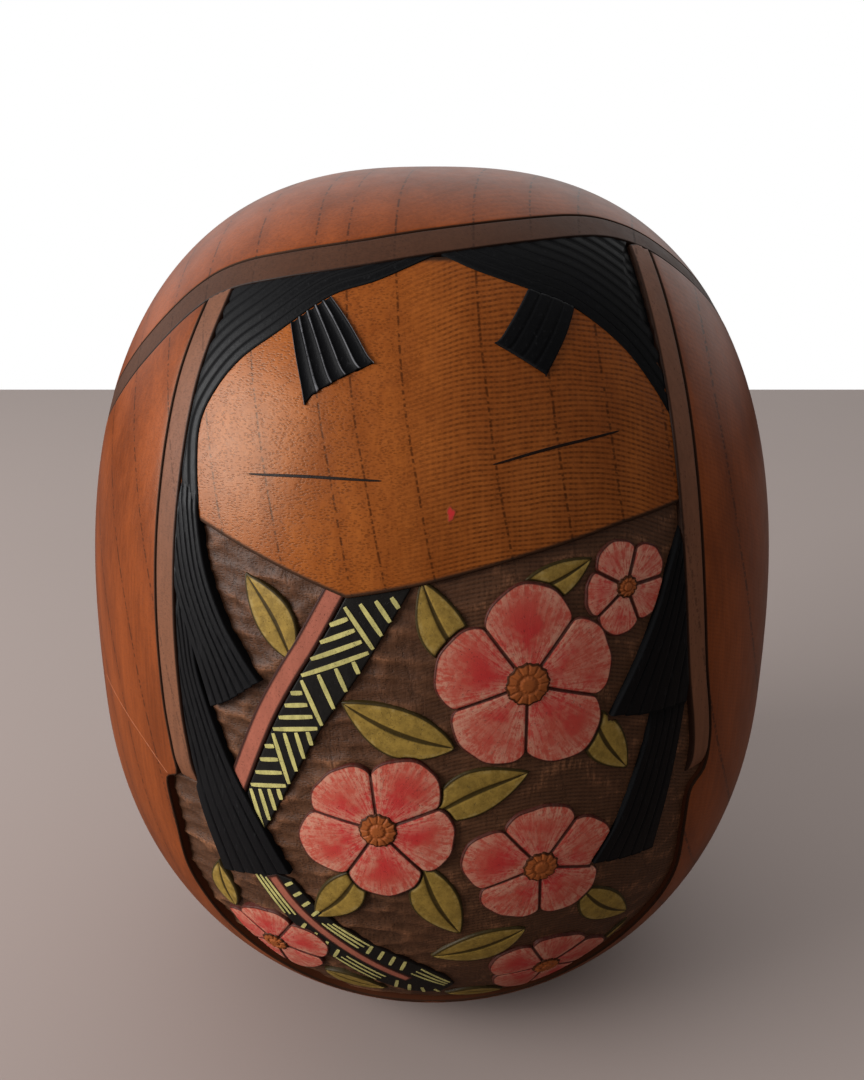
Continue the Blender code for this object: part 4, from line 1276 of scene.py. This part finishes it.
def make_kimono(bench):
    """The sunk ground of the kimono, from under the collar down into the foot of the opening."""
    sizes = bench.sizes
    z = np.linspace(GROUND_FOOT, GROUND_TOP, GROUND_LINE) * bench.egg.scale[1]
    left, right = bench.inside(z, -GROUND_TUCK)
    field = Field(np.stack([left, z], axis=-1), np.stack([right, z], axis=-1), *GROUND_GRID)
    marks = gouge_marks(field.places, sizes.gouge_length / MM, sizes.gouge_height / MM)
    carving = Carving(bench)
    left_share = np.clip((GOUGE_FADE_END - field.places[..., 0]) / GOUGE_FADE, 0, 1)
    carving.plate(field, -sizes.ground_depth / MM, -marks * (GOUGE_SHALLOW + GOUGE_DEEPER * left_share))
    brown = bench.colours.ground
    ground = gouged_ground("kimono_brown", brown, shaded(brown, 0.32))
    carving.finish("carved_kimono_panel", ground, ["kimono_panel"], "kimono_brown")


def add_stroke(carving, start, end, width, level):
    """One brush stroke: a bar between two points with blunt ends, a little thicker in its middle."""
    share = np.linspace(0, 1, STROKE_STEPS)[:, None]
    line = np.asarray(start) + (np.asarray(end) - np.asarray(start)) * share
    taper = 0.72 + 0.28 * np.sin(math.pi * share[:, 0]) ** 0.5
    carving.plate(Field(*ribbon(line, width * taper), STROKE_STEPS, LINE_COLUMNS), level)


def add_weave(carving, left, right):
    """Woven strokes of a band, as a strip of triangles between its two edges.

    Each module has a triangle on the right with strokes that run from the left edge down to the right one,
    and a triangle on the left with strokes that run along the module's foot. The left triangle of the last
    module lies under the lock and has none.
    """
    corners_left = resampled(left, WEAVE_MARKS_LEFT)
    corners_right = resampled(right, WEAVE_MARKS_RIGHT)
    modules = list(zip(corners_left, corners_left[1:], corners_right, corners_right[1:]))
    for number, (high, low, above, far) in enumerate(modules, start=1):
        for step in range(WEAVE_STROKES):
            share = (step + 0.2) / (WEAVE_STROKES + 0.3)
            steep = (high + (above - high) * share, far + (above - far) * share)
            flat = (low + (high - low) * share, far + (high - far) * share)
            shown = [steep] if number == len(modules) else [steep, flat]
            for start, end in shown:
                inset = (end - start) * 0.03
                add_stroke(carving, start + inset, end - inset, WEAVE_STROKE_WIDTH, STROKE_LEVEL)


def make_collar(bench):
    """The collar's red stripe, its black band and the band's woven strokes."""
    egg = bench.egg
    colours = bench.colours
    brick = colours.stripe
    red = paint("stripe_red", brick, shaded(brick, 1.3), shaded(brick, 0.03), wear=0.8, outline=0.48)
    worn = shaded(colours.weave, 2.2)
    black = paint("weave_black", colours.weave, worn, colours.ink, wear=0.6, outline=0.05)
    thin = shaded(colours.stroke, 0.55)
    yellow = paint("stroke_yellow", colours.stroke, thin, colours.ink, wear=0.9, outline=0.05)
    line = rounded(egg.drawn(STRIPE_ROUTE))
    stripe = Carving(bench)
    stripe.plate(Field(*ribbon(line, bench.sizes.stripe_width / MM), *STRIPE_GRID), STRIPE_LEVEL)
    stripe.finish("carved_collar_stripe", red, ["collar_stripe"], "stripe_red")
    left = rounded(egg.drawn(WEAVE_LEFT))
    right = rounded(egg.drawn(WEAVE_RIGHT))
    band = Carving(bench)
    band.plate(Field(left, right, *WEAVE_GRID), WEAVE_LEVEL)
    band.finish("carved_collar_weave", black, ["collar_weave"], "weave_black")
    strokes = Carving(bench, STROKE_ROLL)
    add_weave(strokes, left, right)
    strokes.finish("collar_strokes", yellow, ["collar_weave"], "weave_black")
    make_sash(bench, red, black, yellow)


def make_sash(bench, red, black, yellow):
    """The sash's black end, with a red line along its middle and groups of strokes on both sides of it."""
    egg = bench.egg
    upper = rounded(egg.drawn(SASH_UPPER))
    lower = rounded(egg.drawn(SASH_LOWER))
    band = Carving(bench)
    band.plate(Field(upper, lower, *SASH_GRID), WEAVE_LEVEL)
    band.finish("carved_sash_weave", black, ["sash_weave"], "weave_black")
    share = np.linspace(0.02, 0.8, LINE_STEPS)
    middle = (resampled(upper, share) + resampled(lower, share)) / 2
    line = Carving(bench)
    line.plate(Field(*ribbon(middle, SASH_LINE_WIDTH), LINE_STEPS, LINE_COLUMNS + 1), STROKE_LEVEL)
    line.finish("sash_line", red, ["sash_weave"], "stripe_red")
    strokes = Carving(bench, STROKE_ROLL)
    span = SASH_REACH / SASH_GROUPS
    for side, (edge, lean) in enumerate(((upper, -SASH_LEAN), (lower, SASH_LEAN))):
        for group in range(SASH_GROUPS):
            start = SASH_START + span * group
            if (group + side) % 2:
                add_long_strokes(strokes, upper, lower, edge, start, span)
            else:
                add_cross_strokes(strokes, upper, lower, edge, start, span, lean)
    strokes.finish("sash_strokes", yellow, ["sash_weave"], "weave_black")


def between_edges(upper, lower, edge, share, depth):
    """A point of the sash: depth 0 is on its middle, 1 on the given edge."""
    middle = (resampled(upper, [share])[0] + resampled(lower, [share])[0]) / 2
    return middle + (resampled(edge, [share])[0] - middle) * depth


def add_cross_strokes(strokes, upper, lower, edge, start, span, lean):
    """Short strokes from the middle line to an edge of the sash, which lean along it."""
    for step in range(SASH_CROSS_STROKES):
        share = start + span * (step + 0.5) / SASH_CROSS_STROKES
        inner = between_edges(upper, lower, edge, share, 0.36)
        outer = between_edges(upper, lower, edge, share + lean, 0.94)
        add_stroke(strokes, inner, outer, SASH_CROSS_WIDTH, STROKE_LEVEL)


def add_long_strokes(strokes, upper, lower, edge, start, span):
    """Strokes along the sash, side by side."""
    for depth in SASH_LONG_DEPTHS:
        first = between_edges(upper, lower, edge, start + span * 0.08, depth)
        last = between_edges(upper, lower, edge, start + span * 0.92, depth)
        add_stroke(strokes, first, last, SASH_LONG_WIDTH, STROKE_LEVEL)


def room(bench, places):
    """How far places lie inside the flower field, which the trims and the side locks bound."""
    egg = bench.egg
    x = places[..., 0]
    z = places[..., 1]
    left, right = bench.inside(z, bench.sizes.trim_width / MM)
    for name, (inner, _) in LOCKS.items():
        line = rounded(egg.drawn(inner))[::-1]
        covered = (z > line[0, 1] - 1) & (z < line[-1, 1])
        border = np.interp(z, line[:, 1], line[:, 0])
        if border.flat[0] < 0:
            left = np.where(covered, np.maximum(left, border), left)
        else:
            right = np.where(covered, np.minimum(right, border), right)
    return np.minimum(x - left, right - x)


def petal_reach(number, radius, angle):
    """Distance from a flower's middle to its rim, with the petal's number and the place across it.

    The rim follows |cos(5/2 angle)| to a power, with some petals a little longer than others.
    """
    sector = TAU / PETALS
    petal = np.round(angle / sector)
    place = angle / sector - petal
    bulge = np.abs(np.cos(math.pi * place))
    uneven = 0.08 * np.sin(petal % PETALS * 2.4 + number)
    reach = radius * (1 - PETAL_NOTCH + PETAL_NOTCH * bulge**PETAL_ROUNDNESS) * (1 + uneven * bulge**2)
    return reach * (1 + 0.012 * np.sin(5 * angle + number) + 0.006 * np.sin(17 * angle)), petal, place


def beyond_blossoms(egg, places):
    """Distance from places to the nearest blossom's rim, negative inside it."""
    found = np.full(places.shape[:-1], np.inf)
    for number, (x, z, radius, turn) in enumerate(BLOSSOMS, start=1):
        offset = places - egg.drawn((x, z))
        angle = (np.arctan2(offset[..., 1], offset[..., 0]) - math.radians(turn)) % TAU
        reach, _, _ = petal_reach(number, radius, angle)
        found = np.minimum(found, np.linalg.norm(offset, axis=-1) - reach)
    return found


def make_blossoms(bench):
    """Five-petalled blossoms and their bosses.

    A petal's surface swells between the middle and the rim, leans so that one side lies over the next
    petal, and falls into a groove at its borders.
    """
    egg = bench.egg
    colours = bench.colours
    dark = shaded(colours.petal, 0.07)
    coral = petal_paint("petal_pink", colours.petal, colours.petal_red, colours.petal_edge, dark)
    rubbed_and_highlight = shaded(colours.boss, 1.3)
    brown = paint("boss_brown", colours.boss, rubbed_and_highlight, shaded(colours.boss, 0.1), wear=0.8)
    angle = np.linspace(0, TAU, PETALS * PETAL_STEPS, endpoint=False)
    share = np.concatenate([[0.01], spaced(8.0, 30)[len(EDGE_STEPS) :]])[:, None]
    for number, (x, z, radius, turn) in enumerate(BLOSSOMS, start=1):
        reach, petal, place = petal_reach(number, radius, angle)
        direction = angle + math.radians(turn)
        spoke = np.stack([np.cos(direction), np.sin(direction)], axis=-1)
        places = egg.drawn((x, z)) + spoke * (reach * share)[..., None]
        to_side = share * radius * (0.5 - np.abs(place)) * TAU / PETALS
        edge = np.minimum((1 - share) * reach, to_side + 0.25 * (share < 0.2))
        swell = PETAL_SWELL * np.sin(math.pi * np.clip(share, 0, 1) ** 1.2) * np.cos(math.pi * place) ** 0.6
        groove = PETAL_GROOVE * np.exp(-((to_side / PETAL_GROOVE_HALF) ** 2)) * np.clip(share * 3, 0, 1)
        height = swell + PETAL_LEAN * place * share - groove
        sunk = np.clip(FIELD_MARGIN - room(bench, places), 0, UNDER_HAIR)
        carving = Carving(bench)
        lift = PETAL_LEVEL + height - sunk - rolled((1 - share) * reach, PETAL_ROLL)
        carving.disc(places, edge, share, place + petal, lift, height)
        carving.finish(f"carved_blossom_{number}", coral, [f"blossom_{number}"], "petal_pink")
        add_boss(bench, number, (x, z), radius, brown)


def add_boss(bench, number, middle, radius, brown):
    """A flower's middle: a low dome with a ring and radial nicks round its rim."""
    egg = bench.egg
    angle = np.linspace(0, TAU, BOSS_STEPS, endpoint=False)
    share = np.concatenate([[0.02], np.linspace(0.08, 1, 22)])[:, None]
    reach = BOSS_SHARE * radius * (1 + 0.04 * np.sin(BOSS_NICKS * angle + number))
    spoke = np.stack([np.cos(angle), np.sin(angle)], axis=-1)
    places = egg.drawn(middle) + spoke * (reach * share)[..., None]
    edge = np.broadcast_to((1 - share) * reach, places.shape[:2])
    dome = BOSS_DOME * np.sqrt(np.clip(1 - share**2, 0, 1))
    cut = np.clip(np.cos(BOSS_NICKS * angle), 0, 1) ** 4
    nicks = BOSS_NICK * cut * np.clip((share - 0.45) / 0.2, 0, 1)
    ring = BOSS_RING * np.exp(-(((share - 0.42) / 0.08) ** 2))
    height = dome - nicks - ring
    carving = Carving(bench)
    carving.disc(places, edge, share, 0.0, BOSS_LEVEL + height, height)
    carving.finish(f"carved_blossom_boss_{number}", brown, [f"blossom_boss_{number}"], "boss_brown")


def make_leaves(bench):
    """Leaves: two arcs between pointed ends, each half swollen, with a grooved midrib."""
    egg = bench.egg
    colours = bench.colours
    olive = leaf_paint("leaf_olive", colours.leaf, colours.leaf_edge, shaded(colours.leaf, 0.07))
    share = np.linspace(0, 1, LINE_STEPS)
    for number, (x, z, length, width, turn) in enumerate(LEAVES, start=1):
        direction = math.radians(turn)
        along = np.array([math.cos(direction), math.sin(direction)])
        side = np.array([-along[1], along[0]])
        bend = LEAF_BEND * length * np.sin(math.pi * share) * (1 if number % 2 else -1)
        spine = egg.drawn((x, z)) + along * ((share - 0.5) * length)[:, None] + side * bend[:, None]
        half = width / 2 * np.sin(math.pi * share**0.9) ** 0.85
        field = Field(spine + side * half[:, None], spine - side * half[:, None], *LEAF_GRID)
        off = np.abs(field.across - 0.5) * 2
        rib = LEAF_RIB * np.exp(-((off * field.width / 2 / LEAF_RIB_HALF) ** 2))
        height = LEAF_SWELL * np.sin(math.pi * off) ** 0.8 * np.clip(field.width / width, 0, 1) - rib
        beyond = beyond_blossoms(egg, field.places)
        field.edge = np.minimum(field.edge, np.clip(beyond, 0, None))
        sunk = np.clip(FIELD_MARGIN - room(bench, field.places), 0, UNDER_HAIR)
        sunk = sunk + np.clip(FIELD_MARGIN - beyond, 0, UNDER_PETAL)
        carving = Carving(bench)
        carving.plate(field, LEAF_LEVEL + LEAF_STEP * (number % 5), height - sunk)
        name = f"leaf_{number:02d}"
        carving.finish(f"carved_{name}", olive, [name], "leaf_olive")


def make_floor(stage):
    """A plain pale floor that ends behind the doll."""
    mesh = bpy.data.meshes.new("floor")
    far = stage.table_end
    near = -FLOOR_HALF
    corners = [(near, near, 0), (FLOOR_HALF, near, 0), (FLOOR_HALF, far, 0), (near, far, 0)]
    mesh.from_pydata(corners, [], [(0, 1, 2, 3)])
    floor = bpy.data.objects.new("floor", mesh)
    bpy.context.scene.collection.objects.link(floor)
    finish = Finish(bpy.data.materials.new("floor_matt"))
    cloud = finish.noise((0.01, 0.01, 0.01), 3.0)
    colour = finish.mix(cloud, shaded(stage.floor, 0.96), tuple(stage.floor))
    seen = finish.node("ShaderNodeLightPath", {}, {}, "Is Camera Ray")
    colour = finish.mix(seen, tuple(stage.bounce), colour)
    mesh.materials.append(finish.done(colour, 0.6, cloud, 0.01))


def make_world(stage):
    """White to the camera and, behind the doll, in reflections; a light on the doll, dimmer in front."""
    world = bpy.data.worlds.new("studio")
    bpy.context.scene.world = world
    finish = Finish(world)
    path = finish.node("ShaderNodeLightPath", {}, {})
    rays = {output.name: Wire(finish, output) for output in path.socket.node.outputs}
    direction = finish.node("ShaderNodeTexCoord", {}, {}, "Generated")
    split = finish.node("ShaderNodeSeparateXYZ", {}, {0: direction}).socket.node.outputs
    behind = Wire(finish, split["Y"]).ramp(0.0, 0.8) * Wire(finish, split["Z"]).ramp(-0.1, 0.3)
    mirrored = rays["Is Glossy Ray"].most(rays["Is Transmission Ray"])
    aside = 1 - Wire(finish, split["X"]).ramp(-0.3, 0.7) * SIDE_LOSS
    level = (behind + (1 - mirrored) * aside * stage.front) * stage.ambient
    seen = rays["Is Camera Ray"].most(mirrored * behind * BACKDROP_SHINE)
    light = finish.node("ShaderNodeBackground", {}, {"Color": (1, 1, 1), "Strength": level})
    white = finish.node("ShaderNodeBackground", {}, {"Color": (1, 1, 1), "Strength": 1.0})
    mixed = finish.node("ShaderNodeMixShader", {}, {0: seen, 1: light, 2: white})
    finish.put(finish.tree.nodes["World Output"].inputs["Surface"], mixed)


def add_lamp(name, power, target):
    """A soft rectangular lamp that shines at a point."""
    lamp = bpy.data.lights.new(name, "AREA")
    lamp.shape = "RECTANGLE"
    lamp.energy = power
    lamp.size = LAMP_WIDTH
    lamp.size_y = LAMP_HEIGHT
    holder = bpy.data.objects.new(name, lamp)
    bpy.context.scene.collection.objects.link(holder)
    holder.location = LAMP_PLACE
    holder.rotation_euler = (target - holder.location).to_track_quat("-Z", "Y").to_euler()


def make_stage(scene):
    """Floor, world, a soft window lamp and the camera at the photograph's viewing angle."""
    stage = scene.stage_settings
    make_floor(stage)
    make_world(stage)
    middle = (body_low + body_high) / 2
    add_lamp("left_window", stage.key_power, middle)
    camera = bpy.data.cameras.new("camera")
    camera.lens = stage.lens
    camera.clip_start = CLIP_START
    holder = bpy.data.objects.new("camera", camera)
    scene.collection.objects.link(holder)
    holder.location = (0, -stage.camera_distance, stage.camera_height)
    holder.rotation_euler = (math.pi / 2 - stage.camera_tilt, 0, 0)
    scene.camera = holder
    scene.view_settings.view_transform = "Standard"


class KOKESHI_OT_hood(bpy.types.Operator):
    """Turn the hood in bare wood"""

    bl_idname = "kokeshi.hood"
    bl_label = "Hood"

    def execute(self, context):
        make_hood(Bench(context.scene))
        return {"FINISHED"}


class KOKESHI_OT_tie(bpy.types.Operator):
    """Lay the tie round the hood"""

    bl_idname = "kokeshi.tie"
    bl_label = "Tie"

    def execute(self, context):
        make_tie(Bench(context.scene))
        return {"FINISHED"}


class KOKESHI_OT_trims(bpy.types.Operator):
    """Lay the trims inside the opening"""

    bl_idname = "kokeshi.trims"
    bl_label = "Trims"

    def execute(self, context):
        make_trims(Bench(context.scene))
        return {"FINISHED"}


class KOKESHI_OT_face(bpy.types.Operator):
    """Carve the face with its eyes and mouth"""

    bl_idname = "kokeshi.face"
    bl_label = "Face"

    def execute(self, context):
        make_face(Bench(context.scene))
        return {"FINISHED"}


class KOKESHI_OT_hair(bpy.types.Operator):
    """Carve the bangs, forelocks and side locks"""

    bl_idname = "kokeshi.hair"
    bl_label = "Hair"

    def execute(self, context):
        make_hair(Bench(context.scene))
        return {"FINISHED"}


class KOKESHI_OT_kimono(bpy.types.Operator):
    """Gouge the ground of the kimono"""

    bl_idname = "kokeshi.kimono"
    bl_label = "Kimono Ground"

    def execute(self, context):
        make_kimono(Bench(context.scene))
        return {"FINISHED"}


class KOKESHI_OT_collar(bpy.types.Operator):
    """Paint the collar's stripe and weave, and the sash"""

    bl_idname = "kokeshi.collar"
    bl_label = "Collar and Sash"

    def execute(self, context):
        make_collar(Bench(context.scene))
        return {"FINISHED"}


class KOKESHI_OT_blossoms(bpy.types.Operator):
    """Carve the blossoms and their bosses"""

    bl_idname = "kokeshi.blossoms"
    bl_label = "Blossoms"

    def execute(self, context):
        make_blossoms(Bench(context.scene))
        return {"FINISHED"}


class KOKESHI_OT_leaves(bpy.types.Operator):
    """Carve the leaves"""

    bl_idname = "kokeshi.leaves"
    bl_label = "Leaves"

    def execute(self, context):
        make_leaves(Bench(context.scene))
        return {"FINISHED"}


class KOKESHI_OT_stage(bpy.types.Operator):
    """Set the floor, light and camera"""

    bl_idname = "kokeshi.stage"
    bl_label = "Stage"

    def execute(self, context):
        make_stage(context.scene)
        return {"FINISHED"}


OPERATORS = (
    KOKESHI_OT_hood, KOKESHI_OT_tie, KOKESHI_OT_trims, KOKESHI_OT_face, KOKESHI_OT_hair, KOKESHI_OT_kimono,
    KOKESHI_OT_collar, KOKESHI_OT_blossoms, KOKESHI_OT_leaves, KOKESHI_OT_stage,
)


class KOKESHI_PT_pieces(bpy.types.Panel):
    """Buttons for the doll's pieces"""

    bl_label = "Kokeshi"
    bl_idname = "KOKESHI_PT_pieces"
    bl_space_type = "VIEW_3D"
    bl_region_type = "UI"
    bl_category = "Kokeshi"

    def draw(self, context):
        for operator in OPERATORS:
            self.layout.operator(operator.bl_idname)


CLASSES = (DollSizes, DollColours, StageSettings, *OPERATORS, KOKESHI_PT_pieces)


def register():
    """Registers the classes and gives the scene its settings."""
    for item in CLASSES:
        bpy.utils.register_class(item)
    bpy.types.Scene.doll_sizes = PointerProperty(type=DollSizes)
    bpy.types.Scene.doll_colours = PointerProperty(type=DollColours)
    bpy.types.Scene.stage_settings = PointerProperty(type=StageSettings)


def unregister():
    """Takes the settings and the classes away again."""
    del bpy.types.Scene.stage_settings
    del bpy.types.Scene.doll_colours
    del bpy.types.Scene.doll_sizes
    for item in reversed(CLASSES):
        bpy.utils.unregister_class(item)


def main():
    """Makes every piece and the stage."""
    register()
    bpy.ops.kokeshi.hood()
    bpy.ops.kokeshi.tie()
    bpy.ops.kokeshi.trims()
    bpy.ops.kokeshi.face()
    bpy.ops.kokeshi.hair()
    bpy.ops.kokeshi.kimono()
    bpy.ops.kokeshi.collar()
    bpy.ops.kokeshi.blossoms()
    bpy.ops.kokeshi.leaves()
    bpy.ops.kokeshi.stage()


if __name__ == "__main__":
    main()
